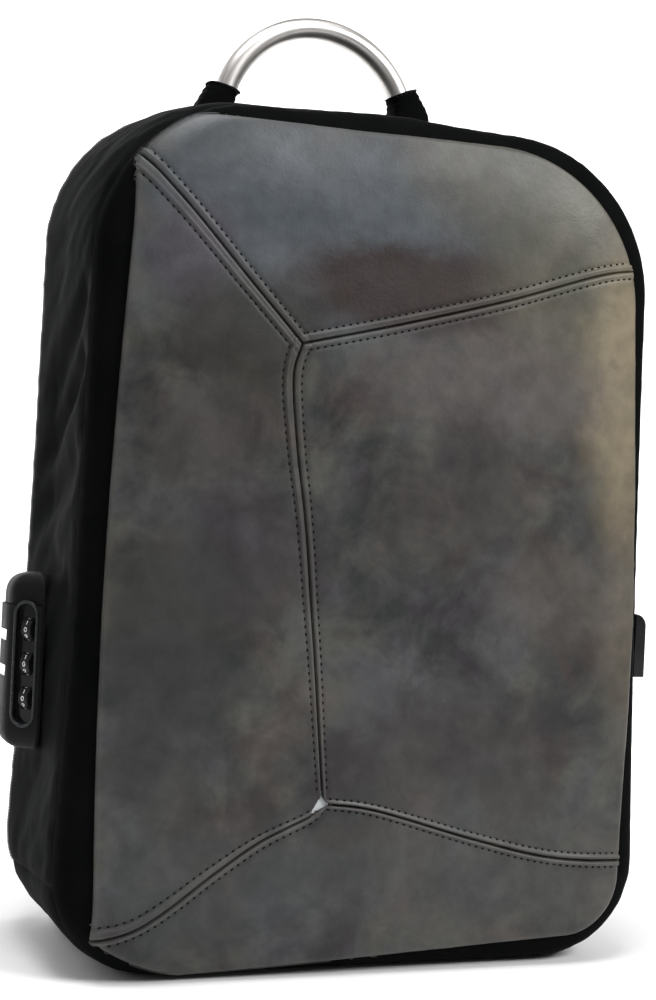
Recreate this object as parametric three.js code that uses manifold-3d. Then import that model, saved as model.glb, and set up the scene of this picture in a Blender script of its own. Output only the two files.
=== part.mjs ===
// An upright anti theft backpack: four sewn leather panels on a soft black body, with a tube handle,
// a three-dial lock on one side and a charging port on the other.
// Millimetres. X runs to the viewer's right, Y from front to back, Z up. The origin is on the ground,
// under the middle of the base.
import * as THREE from "three";
import { mergeVertices } from "three/addons/utils/BufferGeometryUtils.js";
import Module from "manifold-3d";

const wasm = await Module();
wasm.setup();

// Body sizes
const BODY_WIDTH = 325;
const BASE_SPREAD = 20; // how much wider the body is at the ground than at the top
const SPREAD_BEND = 2.2; // how strongly the spread gathers towards the ground
const BODY_HEIGHT = 465;
const BODY_DEPTH = 160; // from the leather's rim to the back
const BODY_FLARE = 18; // how far the sides stand out past the leather
const TOP_RADIUS = 80;
const BASE_RADIUS = 60;
const TOP_CROWN = 3;
const FRONT_SWELL = 21; // how far the front bulges past its seam
const FRONT_ROLL = 22; // width of the rounding along the front seam
const CLOTH = 2;
const GAP = 0.3;

// Seams and folds of the body
const BASE_SEAM_FRONT = 47; // height of the base seam at the front
const BASE_SEAM_BACK = 38;
const FOLD_SINK = 6;
const FOLD_BREADTH = 11;
const TOOTH_HEIGHT = 1.1;
const ZIP_TAPE = 1.4;

// Leather front
const LEATHER = 2.6;
const LEATHER_SIDE = 14; // how far its edges lie inside the body's sides
const LEATHER_TOP = 24; // how far its upper edge lies below the body's top
const LEATHER_LOW = 4; // height of its lowest edge
const LEATHER_WIDTH = BODY_WIDTH - 2 * LEATHER_SIDE;
const LEATHER_HEIGHT = BODY_HEIGHT - LEATHER_TOP - LEATHER_LOW;
const LEATHER_LEFT = -LEATHER_WIDTH / 2; // place of its straight cut
const LEATHER_TOP_RADIUS = 85;
const LEATHER_BASE_RADIUS = 32;
const SEAM_CUT = 0.6;
const PATCH_SIZE = 13;

// Handle
const HANDLE_RADIUS = 58.5; // of the tube's centre line
const HANDLE_TUBE = 13;
const HANDLE_DEPTH = 139; // from the leather's rim
const HANDLE_RISE = 62; // of the centre line above the body's top
const HANDLE_LEAN = -4.5; // degrees that it leans to the right
const HANDLE_REACH = 86; // degrees round the arc from its crest to the tube's ends
const CUFF_WALL = 2.7;
const CUFF_FOOT = 25; // width where it stands on the body
const CUFF_SHIFT = 2; // how far the cuffs stand out past the tube's centre line
const CUFF_TURN = 69; // degrees round the arc from its crest to the cuff's mouth

// Lock
const LOCK_WIDTH = 40;
const LOCK_LENGTH = 94;
const LOCK_HEIGHT = 16.5;
const LOCK_MIDDLE = 156; // height of its middle above the ground
const LOCK_FRONT = 54; // from the leather's rim to its front edge
const LOCK_EDGE = 7; // how far the lock laps over the cloth round its well
const DIAL_RADIUS = 6.2;
const DIAL_WIDTH = 5.6;
const DIAL_PITCH = 18.1;
const DIAL_PROUD = 0.5; // how far its rim stands past the slanted face
const DIAL_SHIFT = -1; // how far the middle dial lies above the lock's middle
const DIAL_DIGITS = 10;
const DIAL_NOTCH = 0.35;
const WINDOW_WIDTH = 12.4;
const WINDOW_LENGTH = 64;
const WINDOW_DEPTH = 3.2;
const SLOT_HEIGHT = 5.6;
const SLOT_DEPTH = 7.5;
const SLOT_PITCH = 18.8;
const SLOT_SHIFT = 3.9; // how far the slots' middle lies above the lock's middle
const SLOT_START = 18; // from the lock's front edge to the slots' inner end
const RELEASE_LENGTH = 17;
const RELEASE_STEP = 1.4;

// Charging port
const PORT_WIDTH = 22;
const PORT_LENGTH = 36;
const PORT_HEIGHT = 6.5;
const PORT_FRONT = 19; // from the leather's rim to its front edge
const PORT_LOW = 155;
const PORT_CORNER = 7;
const SOCKET_WIDTH = 12.6;
const SOCKET_HEIGHT = 4.6;
const SOCKET_DEPTH = 15;
const SOCKET_EASE = 0.6; // height of the lip round its mouth

// Shoulder straps
const STRAP_WIDTH = 62;
const STRAP_THICK = 12;
const STRAP_STAND = 46; // how far it arches off the back
const STRAP_SPREAD = 45; // from the middle to its top end
const STRAP_TOP = 424;
const WEBBING_WIDTH = 25;
const WEBBING_THICK = 1.6;
const ADJUSTER_BAR = 3.4;
const ADJUSTER_THICK = 5;
const ADJUSTER_HEIGHT = 21;
const ADJUSTER_INSET = 1; // how far its bars end inside its rails

// Zip sliders
const SLIDER_LENGTH = 12;
const SLIDER_WIDTH = 9;
const SLIDER_THICK = 4;
const SLIDER_MIDDLE = 190; // height of the place where the two meet
const PULLER_LENGTH = 24;
const PULLER_WIDTH = 6;
const PULLER_THICK = 1.6;

const FRONT = -BODY_DEPTH / 2;
const BACK = BODY_DEPTH / 2;

// Points round each section: the two sides, corners, top and base
const COUNTS = { left: 19, corner: 6, top: 6, right: 6, baseCorner: 4, base: 3 };

// Sections from the front seam to the back rim. depth is a share of the body's depth, side, top, base and
// shift are shares of the flare, and the rounds are shares of the corner radii.
const SECTION_COLUMNS = ["name", "depth", "side", "top", "base", "shift", "topRound", "baseRound"];
const SECTIONS = [
  ["front_seam", 0.075, 0.27, 0.6, 0.06, -0.19, 1.06, 0.92],
  ["brow", 0.113, 0.17, 0.52, 0.02, -0.15, 1.04, 0.93],
  ["shoulder", 0.17, 0.1, 0.44, 0, -0.1, 1.02, 0.94],
  ["front_third", 0.25, 0.05, 0.33, 0, -0.05, 1.01, 0.96],
  ["front_half", 0.36, 0.03, 0.22, 0, -0.02, 1, 0.98],
  ["middle", 0.47, 0.02, 0.12, 0, 0, 1, 1],
  ["back_half", 0.58, 0, 0.05, 0, 0, 1, 1],
  ["zip_front", 0.7, 0, 0, 0, 0, 1, 1],
  ["teeth_front", 0.717, 0.01, 0, 0, 0, 1, 1],
  ["teeth_back", 0.733, 0.02, 0, 0, 0, 1, 1],
  ["zip_back", 0.75, 0.04, 0, 0, 0, 1, 1],
  ["handle_row", 0.86, 0.25, 0.08, 0, 0, 1, 1],
  ["back_brow", 0.93, 0.5, 0.28, 0.04, 0, 0.98, 0.97],
  ["back_seam", 0.968, 0.78, 0.56, 0.25, 0, 0.95, 0.93],
].map((row) => Object.fromEntries(SECTION_COLUMNS.map((column, i) => [column, row[i]])));

// Rings of the front inside its seam: inset as a share of the roll, swell of the bulge, scale about the
// middle
const FRONT_RINGS = [
  { inset: 1, swell: 1, scale: 0.3 },
  { inset: 1, swell: 0.945, scale: 0.68 },
  { inset: 1, swell: 0.86, scale: 1 },
  { inset: 0.5, swell: 0.73, scale: 1 },
  { inset: 0.2, swell: 0.5, scale: 1 },
  { inset: 0.06, swell: 0.25, scale: 1 },
];

// Rings of the back inside its seam: inset as a share of the flare, depth as a share of the body's
const BACK_RINGS = [
  { inset: 0.4, depth: 0.99, scale: 1 },
  { inset: 1, depth: 1, scale: 1 },
  { inset: 1, depth: 1, scale: 0.3 },
];

// Long folds of the left side: place of the middle as shares of depth and height, reach as a share of the
// depth, tilt in degrees down towards the back, sink and breadth as shares of a plain fold
const FOLDS = [
  { depth: 0.34, height: 0.69, reach: 0.42, tilt: 38, sink: 0.7, breadth: 1 },
  { depth: 0.4, height: 0.61, reach: 0.42, tilt: 36, sink: 1, breadth: 1 },
  { depth: 0.46, height: 0.52, reach: 0.4, tilt: 22, sink: 0.9, breadth: 1.2 },
  { depth: 0.2, height: 0.43, reach: 0.25, tilt: -20, sink: 0.4, breadth: 1.1 },
  { depth: 0.45, height: 0.2, reach: 0.3, tilt: 15, sink: 0.4, breadth: 1.3 },
];

// Seams of the leather, as shares of its width and height
const SEAMS = {
  upperLeft: [
    { across: -0.03, up: 0.983 },
    { across: 0.313, up: 0.741 },
  ],
  upperRight: [
    { across: 0.313, up: 0.741 },
    { across: 0.5, up: 0.773 },
    { across: 0.7, up: 0.811 },
    { across: 0.9, up: 0.855 },
    { across: 1.03, up: 0.867 },
  ],
  upright: [
    { across: 0.313, up: 0.741 },
    { across: 0.299, up: 0.7 },
    { across: 0.312, up: 0.616 },
    { across: 0.339, up: 0.499 },
    { across: 0.388, up: 0.2 },
  ],
  lowerLeft: [
    { across: 0.388, up: 0.2 },
    { across: 0.277, up: 0.162 },
    { across: 0.195, up: 0.12 },
    { across: 0.064, up: 0.058 },
    { across: -0.03, up: 0.044 },
  ],
  lowerRight: [
    { across: 0.388, up: 0.2 },
    { across: 0.49, up: 0.19 },
    { across: 0.68, up: 0.153 },
    { across: 0.84, up: 0.128 },
    { across: 1.03, up: 0.119 },
  ],
};

// The leather's outline, as shares of its width and height
const OUTLINE = {
  lean: 0.029, // how far the right edge comes in towards the top
  tipAcross: 0.02,
  tipUp: 0.966,
  tipBend: 0.01, // how far the bend above the tip lies inside it
  tipCrest: 0.99,
  topStart: 0.09,
  topLeft: 0.998,
  widest: 0.45,
  baseRise: 0.028, // the lower edge rises to the right
  baseStart: 0.15,
  nubAcross: -0.006,
  nubUp: 0.046,
  bow: 0.03, // how far the cut bows out between its tips
  bowUp: 0.45,
};

// Cross-section of the lock from front edge to back edge, as shares of its width and height
const LOCK_PROFILE = [
  { across: 0, rise: 0 },
  { across: 0, rise: 0.12 },
  { across: 0.03, rise: 0.17 },
  { across: 0.31, rise: 0.83 },
  { across: 0.38, rise: 0.94 },
  { across: 0.48, rise: 1 },
  { across: 0.78, rise: 1 },
  { across: 0.9, rise: 0.93 },
  { across: 0.98, rise: 0.72 },
  { across: 1, rise: 0.4 },
  { across: 1, rise: 0 },
];

// The lock's outline along its length: place from the middle as a share of half the length, and size there
const LOCK_STATIONS = [
  { along: -1, size: 0.5 },
  { along: -0.95, size: 0.74 },
  { along: -0.85, size: 0.9 },
  { along: -0.68, size: 1 },
  { along: 0.68, size: 1 },
  { along: 0.85, size: 0.9 },
  { along: 0.95, size: 0.74 },
  { along: 1, size: 0.5 },
];

// Strap path from the top end to the padded end: drop as a share of the way to the ground, stand as a share
// of the strap's stand, spread as a multiple of the top end's, width and thickness as shares
const STRAP_ROWS = [
  { drop: 0, stand: 0, spread: 1, width: 0.8, thick: 0.6 },
  { drop: 0.02, stand: 0.42, spread: 1.03, width: 0.9, thick: 1 },
  { drop: 0.06, stand: 0.72, spread: 1.1, width: 1, thick: 1 },
  { drop: 0.14, stand: 0.92, spread: 1.25, width: 1, thick: 1 },
  { drop: 0.26, stand: 1, spread: 1.5, width: 1, thick: 1 },
  { drop: 0.38, stand: 0.96, spread: 1.78, width: 0.97, thick: 1 },
  { drop: 0.5, stand: 0.84, spread: 2.06, width: 0.85, thick: 1 },
  { drop: 0.57, stand: 0.75, spread: 2.2, width: 0.62, thick: 0.7 },
];

// Webbing path from the adjuster to the lower corner of the back, in the same shares
const WEBBING_ROWS = [
  { drop: 0.607, stand: 0.71, spread: 2.26 },
  { drop: 0.7, stand: 0.5, spread: 2.46 },
  { drop: 0.8, stand: 0.24, spread: 2.66 },
  { drop: 0.86, stand: 0.06, spread: 2.78 },
  { drop: 0.885, stand: 0, spread: 2.83 },
];

const MATERIALS = {
  nylon: new THREE.MeshStandardMaterial({ color: 0x0b0c0e, roughness: 0.82, metalness: 0 }),
  leather: new THREE.MeshStandardMaterial({ color: 0x55534f, roughness: 0.5, metalness: 0 }),
  patch: new THREE.MeshStandardMaterial({ color: 0xa7abac, roughness: 0.7, metalness: 0 }),
  aluminium: new THREE.MeshStandardMaterial({ color: 0xc9c6c4, roughness: 0.35, metalness: 1 }),
  plastic: new THREE.MeshStandardMaterial({ color: 0x101112, roughness: 0.35, metalness: 0 }),
  zip: new THREE.MeshStandardMaterial({ color: 0x141416, roughness: 0.6, metalness: 0 }),
  metal: new THREE.MeshStandardMaterial({ color: 0x2a2b2d, roughness: 0.35, metalness: 1 }),
};

const backpack = new THREE.Group();

function addPiece(name, geometry, material) {
  const mesh = new THREE.Mesh(geometry, material);
  mesh.name = name;
  backpack.add(mesh);
  return mesh;
}

function mix(a, b, share) {
  return a + (b - a) * share;
}

// A closed solid from vertices and triangles, with vertices that meet merged
function geometryOf(points, faces) {
  const geometry = new THREE.BufferGeometry();
  geometry.setAttribute("position", new THREE.Float32BufferAttribute(points.flatMap((p) => p.toArray()), 3));
  geometry.setIndex(faces.flat());
  geometry.computeVertexNormals();
  return geometry;
}

function solidOf(geometry) {
  const plain = geometry.clone();
  plain.deleteAttribute("normal");
  plain.deleteAttribute("uv");
  const merged = mergeVertices(plain, 1e-4);
  return new wasm.Manifold(
    new wasm.Mesh({
      numProp: 3,
      vertProperties: merged.attributes.position.array,
      triVerts: new Uint32Array(merged.index.array),
    }),
  );
}

function geometryFrom(solid) {
  const mesh = solid.getMesh();
  const geometry = new THREE.BufferGeometry();
  geometry.setAttribute("position", new THREE.BufferAttribute(mesh.vertProperties, 3));
  geometry.setIndex(new THREE.BufferAttribute(mesh.triVerts, 1));
  geometry.computeVertexNormals();
  return geometry;
}

// A solid between closed loops with the same number of points, capped at both ends
function loft(loops) {
  const count = loops[0].length;
  const points = loops.flat();
  const faces = [];
  for (let row = 0; row + 1 < loops.length; row++)
    for (let i = 0; i < count; i++) {
      const next = (i + 1) % count;
      const a = row * count + i;
      const b = row * count + next;
      faces.push([a, b, b + count], [a, b + count, a + count]);
    }
  for (const [start, turned] of [[0, true], [(loops.length - 1) * count, false]]) {
    const middle = new THREE.Vector3();
    for (let i = 0; i < count; i++) middle.add(points[start + i]);
    points.push(middle.divideScalar(count));
    const hub = points.length - 1;
    for (let i = 0; i < count; i++) {
      const a = start + i;
      const b = start + ((i + 1) % count);
      faces.push(turned ? [hub, b, a] : [hub, a, b]);
    }
  }
  const geometry = geometryOf(points, faces);
  return solidOf(geometry).volume() < 0 ? geometryOf(points, faces.map((f) => f.toReversed())) : geometry;
}

// A wall between an outer and an inner grid of points, rows by columns. A closed grid joins its last
// column to its first, and a hub closes the first row over a middle point.
function wall(outer, inner, closed, hubs) {
  const rows = outer.length;
  const count = outer[0].length;
  const points = [...outer.flat(), ...inner.flat()];
  const skin = rows * count;
  const faces = [];
  const spans = closed ? count : count - 1;
  const quad = (a, b, c, d) => faces.push([a, b, c], [a, c, d]);
  for (let row = 0; row + 1 < rows; row++)
    for (let i = 0; i < spans; i++) {
      const a = row * count + i;
      const b = row * count + ((i + 1) % count);
      quad(a, b, b + count, a + count);
      quad(skin + a, skin + a + count, skin + b + count, skin + b);
    }
  const edge = (a, b) => quad(a, a + skin, b + skin, b);
  for (let i = 0; i < spans; i++) {
    const next = (i + 1) % count;
    const last = (rows - 1) * count;
    if (!hubs) edge(i, next);
    edge(last + next, last + i);
  }
  if (!closed)
    for (let row = 0; row + 1 < rows; row++) {
      edge((row + 1) * count, row * count);
      edge(row * count + count - 1, (row + 1) * count + count - 1);
    }
  if (hubs) {
    points.push(...hubs);
    const hub = 2 * skin;
    for (let i = 0; i < count; i++) {
      const next = (i + 1) % count;
      faces.push([hub, next, i], [hub + 1, skin + i, skin + next]);
    }
  }
  const geometry = geometryOf(points, faces);
  return solidOf(geometry).volume() < 0 ? geometryOf(points, faces.map((f) => f.toReversed())) : geometry;
}

// The body's skin as one run of rows, from the middle of the front to the middle of the back
const seamSection = SECTIONS[0];
const rimSection = SECTIONS[SECTIONS.length - 1];
const SKIN = [
  ...FRONT_RINGS.map((ring) => sectionSizes(seamSection, {
    y: FRONT + BODY_DEPTH * seamSection.depth - FRONT_SWELL * ring.swell,
    inset: FRONT_ROLL * ring.inset,
    scale: ring.scale,
  })),
  ...SECTIONS.map((section) => sectionSizes(section, {
    y: FRONT + BODY_DEPTH * section.depth,
    inset: 0,
    scale: 1,
  })),
  ...BACK_RINGS.map((ring) => sectionSizes(rimSection, {
    y: FRONT + BODY_DEPTH * ring.depth,
    inset: BODY_FLARE * ring.inset,
    scale: ring.scale,
  })),
];

function rowOf(name) {
  return FRONT_RINGS.length + SECTIONS.findIndex((section) => section.name === name);
}

function sectionSizes(section, { y, inset, scale }) {
  const shift = BODY_FLARE * section.shift;
  return {
    y,
    scale,
    left: -BODY_WIDTH / 2 + BODY_FLARE * section.side + shift + inset,
    right: BODY_WIDTH / 2 - BODY_FLARE * section.side + shift - inset,
    high: BODY_HEIGHT - TOP_CROWN - BODY_FLARE * section.top - inset,
    low: BODY_FLARE * section.base + inset,
    topRadius: TOP_RADIUS * section.topRound - inset,
    baseRadius: BASE_RADIUS * section.baseRound - inset,
  };
}

// The sizes of the skin at any place between two rows
function sizesAt(row) {
  const from = Math.min(Math.floor(row), SKIN.length - 2);
  const share = row - from;
  return Object.fromEntries(
    Object.keys(SKIN[0]).map((key) => [key, mix(SKIN[from][key], SKIN[from + 1][key], share)]),
  );
}

// Height of the base seam at a depth
function baseSeam(y) {
  return mix(BASE_SEAM_FRONT, BASE_SEAM_BACK, (y - FRONT) / BODY_DEPTH);
}

// One loop of the skin, from the left base seam up and round. rise lifts the two base seam points.
function skinLoop(row, rise) {
  const s = sizesAt(row);
  const seam = baseSeam(s.y) + rise;
  const dip = Math.max(0, s.low + s.baseRadius - seam);
  const turn = Math.asin(Math.min(1, dip / s.baseRadius));
  const cornerLow = s.low + s.baseRadius;
  const cornerHigh = s.high - s.topRadius;
  const start = Math.max(seam, cornerLow);
  const pieces = [];
  const add = (count, build) => {
    const path = new THREE.Path();
    build(path);
    pieces.push(...path.getSpacedPoints(count).slice(0, -1));
  };
  const topLeft = s.left + s.topRadius;
  const topRight = s.right - s.topRadius;
  const baseLeft = s.left + s.baseRadius;
  const baseRight = s.right - s.baseRadius;
  add(COUNTS.left, (path) => {
    if (turn > 0) path.absarc(baseLeft, cornerLow, s.baseRadius, Math.PI + turn, Math.PI, true);
    else path.moveTo(s.left, start);
    path.lineTo(s.left, cornerHigh);
  });
  const half = Math.PI / 2;
  add(COUNTS.corner, (path) => path.absarc(topLeft, cornerHigh, s.topRadius, Math.PI, half, true));
  add(COUNTS.top, (path) => path.moveTo(topLeft, s.high).lineTo(topRight, s.high));
  add(COUNTS.corner, (path) => path.absarc(topRight, cornerHigh, s.topRadius, half, 0, true));
  add(COUNTS.right, (path) => {
    path.moveTo(s.right, cornerHigh).lineTo(s.right, start);
    if (turn > 0) path.absarc(baseRight, cornerLow, s.baseRadius, 0, -turn, true);
  });
  add(COUNTS.baseCorner, (path) => {
    if (turn === 0) path.moveTo(s.right, start).lineTo(s.right, cornerLow);
    path.absarc(baseRight, cornerLow, s.baseRadius, -turn, -half, true);
  });
  add(COUNTS.base, (path) => path.moveTo(baseRight, s.low).lineTo(baseLeft, s.low));
  add(COUNTS.baseCorner, (path) => {
    path.absarc(baseLeft, cornerLow, s.baseRadius, -half, -Math.PI + turn, true);
    if (turn === 0) path.lineTo(s.left, start);
  });
  const middleX = (s.left + s.right) / 2;
  const middleZ = (s.low + s.high) / 2;
  const crownHalf = (topRight - topLeft) / 2;
  return pieces.map((p) => {
    const off = Math.abs(p.x - middleX);
    const onTop = p.y > middleZ && off < crownHalf;
    const crown = onTop ? TOP_CROWN * Math.cos((Math.PI * off) / (2 * crownHalf)) ** 2 : 0;
    const x = mix(middleX, p.x, s.scale);
    const z = mix(middleZ, p.y + crown, s.scale);
    const spread = 1 + (BASE_SPREAD / BODY_WIDTH) * Math.max(0, 1 - z / BODY_HEIGHT) ** SPREAD_BEND;
    return new THREE.Vector3(x * spread, s.y, z);
  });
}

// How far the folds of the left side pull the cloth in at a point
function foldSink(point) {
  if (point.x > 0) return 0;
  let sink = 0;
  for (const fold of FOLDS) {
    const tilt = THREE.MathUtils.degToRad(fold.tilt);
    const y = point.y - (FRONT + BODY_DEPTH * fold.depth);
    const z = point.z - BODY_HEIGHT * fold.height;
    const along = y * Math.cos(tilt) - z * Math.sin(tilt);
    const over = y * Math.sin(tilt) + z * Math.cos(tilt);
    const reach = BODY_DEPTH * fold.reach;
    const breadth = FOLD_BREADTH * fold.breadth;
    sink += FOLD_SINK * fold.sink * Math.exp(-((over / breadth) ** 2) - (along / reach) ** 4);
  }
  return sink;
}

// Rows over which the folds fade in behind the front seam, and out before the zip
const FOLD_START = 2;
const FOLD_END = 1.5;
const NORMAL_STEP = 0.15; // of a row, to each side of a point, for its normal

// Points of the skin with their outward normals at one row
function skinRow(row, rise) {
  const loop = skinLoop(row, rise);
  const before = skinLoop(Math.max(0, row - NORMAL_STEP), rise);
  const after = skinLoop(Math.min(SKIN.length - 1, row + NORMAL_STEP), rise);
  const count = loop.length;
  const seamRow = rowOf("front_seam");
  const zipRow = rowOf("zip_front");
  const onSide = row >= seamRow && row <= zipRow;
  const fade = onSide ? Math.min(1, (row - seamRow) / FOLD_START, (zipRow - row) / FOLD_END) : 0;
  return loop.map((point, i) => {
    const along = loop[(i + 1) % count].clone().sub(loop[(i + count - 1) % count]);
    const back = after[i].clone().sub(before[i]);
    const normal = along.cross(back).normalize();
    return { point: point.clone().addScaledVector(normal, -foldSink(point) * fade), normal };
  });
}

// A piece of the skin between rows and columns, lifted off it by a distance
function skinGrid(rows, [first, last], lift, rise) {
  return rows.map((row) => {
    const raised = typeof lift === "function" ? lift(row) : lift;
    const points = skinRow(row, rise).map((p) => p.point.clone().addScaledVector(p.normal, raised));
    const columns = [];
    for (let i = first; i <= last; i++) columns.push(points[i % points.length]);
    return columns;
  });
}

// A row a small distance along the skin from a named row, towards the front or the back
function past(name, distance) {
  const row = rowOf(name);
  const other = row + Math.sign(distance);
  const column = Math.round(COUNTS.left / 2);
  const run = skinLoop(row, 0)[column].distanceTo(skinLoop(other, 0)[column]);
  return row + distance / run;
}

const SIDE_LAST = COUNTS.left + 2 * COUNTS.corner + COUNTS.top + COUNTS.right;
const LOOP_COUNT = SIDE_LAST + 2 * COUNTS.baseCorner + COUNTS.base;
const SIDE_COLUMNS = [0, SIDE_LAST];
const BASE_COLUMNS = [SIDE_LAST, LOOP_COUNT];

// All rows from one place to another, with the ends given and whole rows between
function rowsBetween(from, to) {
  const least = 0.05;
  const rows = [from];
  for (let row = Math.ceil(from + least); row < to - least; row++) rows.push(row);
  return [...rows, to];
}

function skinPiece(name, rows, columns, thickness, rise, material, lift = 0) {
  const inner = (row) => (typeof lift === "function" ? 0 : lift) - thickness;
  const geometry = wall(skinGrid(rows, columns, lift, rise), skinGrid(rows, columns, inner, rise), false);
  return addPiece(name, geometry, material);
}

// A dish closes the front or the back: rings from the middle to a rim, and a hub in the middle
function skinDish(rows, outside, inside, direction) {
  const closed = [0, LOOP_COUNT - 1];
  const outer = skinGrid(rows, closed, outside, 0);
  const inner = skinGrid(rows, closed, inside, 0);
  const hubs = [outer[0], inner[0]].map((ring) => {
    const hub = new THREE.Vector3();
    for (const p of ring) hub.add(p);
    hub.divideScalar(ring.length);
    hub.y = ring[0].y + (direction * GAP) / 3;
    return hub;
  });
  return wall(outer, inner, true, hubs);
}

// Black body
const sideBand = skinPiece(
  "side_band",
  rowsBetween(past("front_seam", GAP / 2), past("zip_front", -GAP / 2)),
  SIDE_COLUMNS,
  CLOTH,
  GAP / 2,
  MATERIALS.nylon,
);
skinPiece(
  "back_band",
  rowsBetween(past("zip_back", GAP / 2), past("back_seam", -GAP / 2)),
  SIDE_COLUMNS,
  CLOTH,
  GAP / 2,
  MATERIALS.nylon,
);
skinPiece(
  "base_panel",
  rowsBetween(past("front_seam", GAP / 2), past("back_seam", -GAP / 2)),
  BASE_COLUMNS,
  CLOTH,
  -GAP / 2,
  MATERIALS.nylon,
);
const teethRows = [
  past("zip_front", GAP / 2),
  rowOf("teeth_front"),
  rowOf("teeth_back"),
  past("zip_back", -GAP / 2),
];
const onTeeth = (row) => row >= rowOf("teeth_front") && row <= rowOf("teeth_back");
skinPiece("zip_chain", teethRows, SIDE_COLUMNS, ZIP_TAPE, GAP / 2, MATERIALS.zip, (row) =>
  onTeeth(row) ? TOOTH_HEIGHT : 0,
);
addPiece(
  "front_panel",
  skinDish(rowsBetween(0, past("front_seam", -GAP / 2)), 0, -CLOTH, -1),
  MATERIALS.nylon,
);
addPiece(
  "back_panel",
  skinDish(rowsBetween(past("back_seam", GAP / 2), SKIN.length - 1).toReversed(), 0, -CLOTH, 1),
  MATERIALS.nylon,
);

// Leather front
const leatherX = (across) => LEATHER_LEFT + LEATHER_WIDTH * across;
const leatherZ = (up) => LEATHER_LOW + LEATHER_HEIGHT * up;

// A flat shape in X and Z, drawn through the front of the body
function frontPrism(shape) {
  const depth = BODY_DEPTH;
  const geometry = new THREE.ExtrudeGeometry(shape, { depth, bevelEnabled: false, curveSegments: 8 });
  geometry.rotateX(Math.PI / 2);
  geometry.translate(0, FRONT + BODY_DEPTH * seamSection.depth + GAP, 0);
  return solidOf(geometry);
}

// The leather's outline: a bowed cut on the left between two tips, and round corners on the right
function leatherOutline() {
  const right = leatherX(1);
  const high = leatherZ(1);
  const at = (across, up) => [leatherX(across), leatherZ(up)];
  const lean = LEATHER_WIDTH * OUTLINE.lean;
  const baseHigh = leatherZ(OUTLINE.baseRise) + LEATHER_BASE_RADIUS;
  const shape = new THREE.Shape();
  shape.moveTo(...at(OUTLINE.tipAcross, OUTLINE.tipUp));
  const bend = at(OUTLINE.tipAcross + OUTLINE.tipBend, OUTLINE.tipCrest);
  const round = LEATHER_TOP_RADIUS;
  shape.quadraticCurveTo(...bend, ...at(OUTLINE.topStart, OUTLINE.topLeft));
  shape.absarc(right - lean - round, high - round, round, Math.PI / 2, 0, true);
  shape.lineTo(right, leatherZ(OUTLINE.widest));
  shape.absarc(right - lean / 2 - LEATHER_BASE_RADIUS, baseHigh, LEATHER_BASE_RADIUS, 0, -Math.PI / 2, true);
  shape.lineTo(...at(OUTLINE.baseStart, 0));
  const belowNub = at(OUTLINE.baseStart / 3, OUTLINE.baseRise / 2);
  shape.quadraticCurveTo(...belowNub, ...at(OUTLINE.nubAcross, OUTLINE.nubUp));
  shape.quadraticCurveTo(...at(-OUTLINE.bow, OUTLINE.bowUp), ...at(OUTLINE.tipAcross, OUTLINE.tipUp));
  return shape;
}

function seamCurve(name) {
  return new THREE.SplineCurve(SEAMS[name].map((p) => new THREE.Vector2(leatherX(p.across), leatherZ(p.up))));
}

// Steps along a seam: one for a straight seam, three for each span of a curved one
function seamSteps(name) {
  const spans = SEAMS[name].length - 1;
  return spans > 1 ? 3 * spans : 1;
}

// A thin strip along a seam, which parts the two panels
function seamStrip(name) {
  const curve = seamCurve(name);
  const steps = seamSteps(name);
  const left = [];
  const right = [];
  for (let i = 0; i <= steps; i++) {
    const p = curve.getPoint(i / steps);
    const t = curve.getTangent(i / steps);
    const side = new THREE.Vector2(-t.y, t.x).multiplyScalar(SEAM_CUT / 2);
    left.push(p.clone().add(side));
    right.push(p.clone().sub(side));
  }
  return frontPrism(new THREE.Shape([...left, ...right.toReversed()]));
}

function seamPoints(name, turned) {
  const points = seamCurve(name).getPoints(seamSteps(name));
  return turned ? points.toReversed() : points;
}

const secondJunction = SEAMS.upright[SEAMS.upright.length - 1];
const patchCentre = new THREE.Vector2(leatherX(secondJunction.across), leatherZ(secondJunction.up));

// Corners of the small triangle left open where the lower seams meet: direction from the junction in
// degrees, and reach as a share of the patch's size
const PATCH_CORNERS = [
  { degrees: 76, reach: 0.32 },
  { degrees: 233, reach: 0.66 },
  { degrees: -9, reach: 0.39 },
];

function patchShape(size) {
  const corners = PATCH_CORNERS.map(({ degrees, reach }) => {
    const turn = THREE.MathUtils.degToRad(degrees);
    const out = new THREE.Vector2(Math.cos(turn), Math.sin(turn)).multiplyScalar(size * reach);
    return out.add(patchCentre);
  });
  return new THREE.Shape(corners);
}

const far = 1.3 * BODY_HEIGHT;
const farPoint = (x, z) => new THREE.Vector2(x, z);
const PANEL_EDGES = {
  front_leather_top: [
    ...seamPoints("upperLeft", true),
    farPoint(-far, leatherZ(1)),
    farPoint(-far, far),
    farPoint(far, far),
    ...seamPoints("upperRight", true),
  ],
  front_leather_left: [
    ...seamPoints("upperLeft", false),
    ...seamPoints("upright", false),
    ...seamPoints("lowerLeft", false),
    farPoint(-far, leatherZ(0)),
    farPoint(-far, leatherZ(1)),
  ],
  front_leather_right: [
    ...seamPoints("upperRight", true),
    ...seamPoints("upright", false),
    ...seamPoints("lowerRight", false),
  ],
  front_leather_bottom: [
    ...seamPoints("lowerLeft", true),
    ...seamPoints("lowerRight", false),
    farPoint(far, -far),
    farPoint(-far, -far),
    farPoint(-far, leatherZ(0)),
  ],
};

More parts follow.
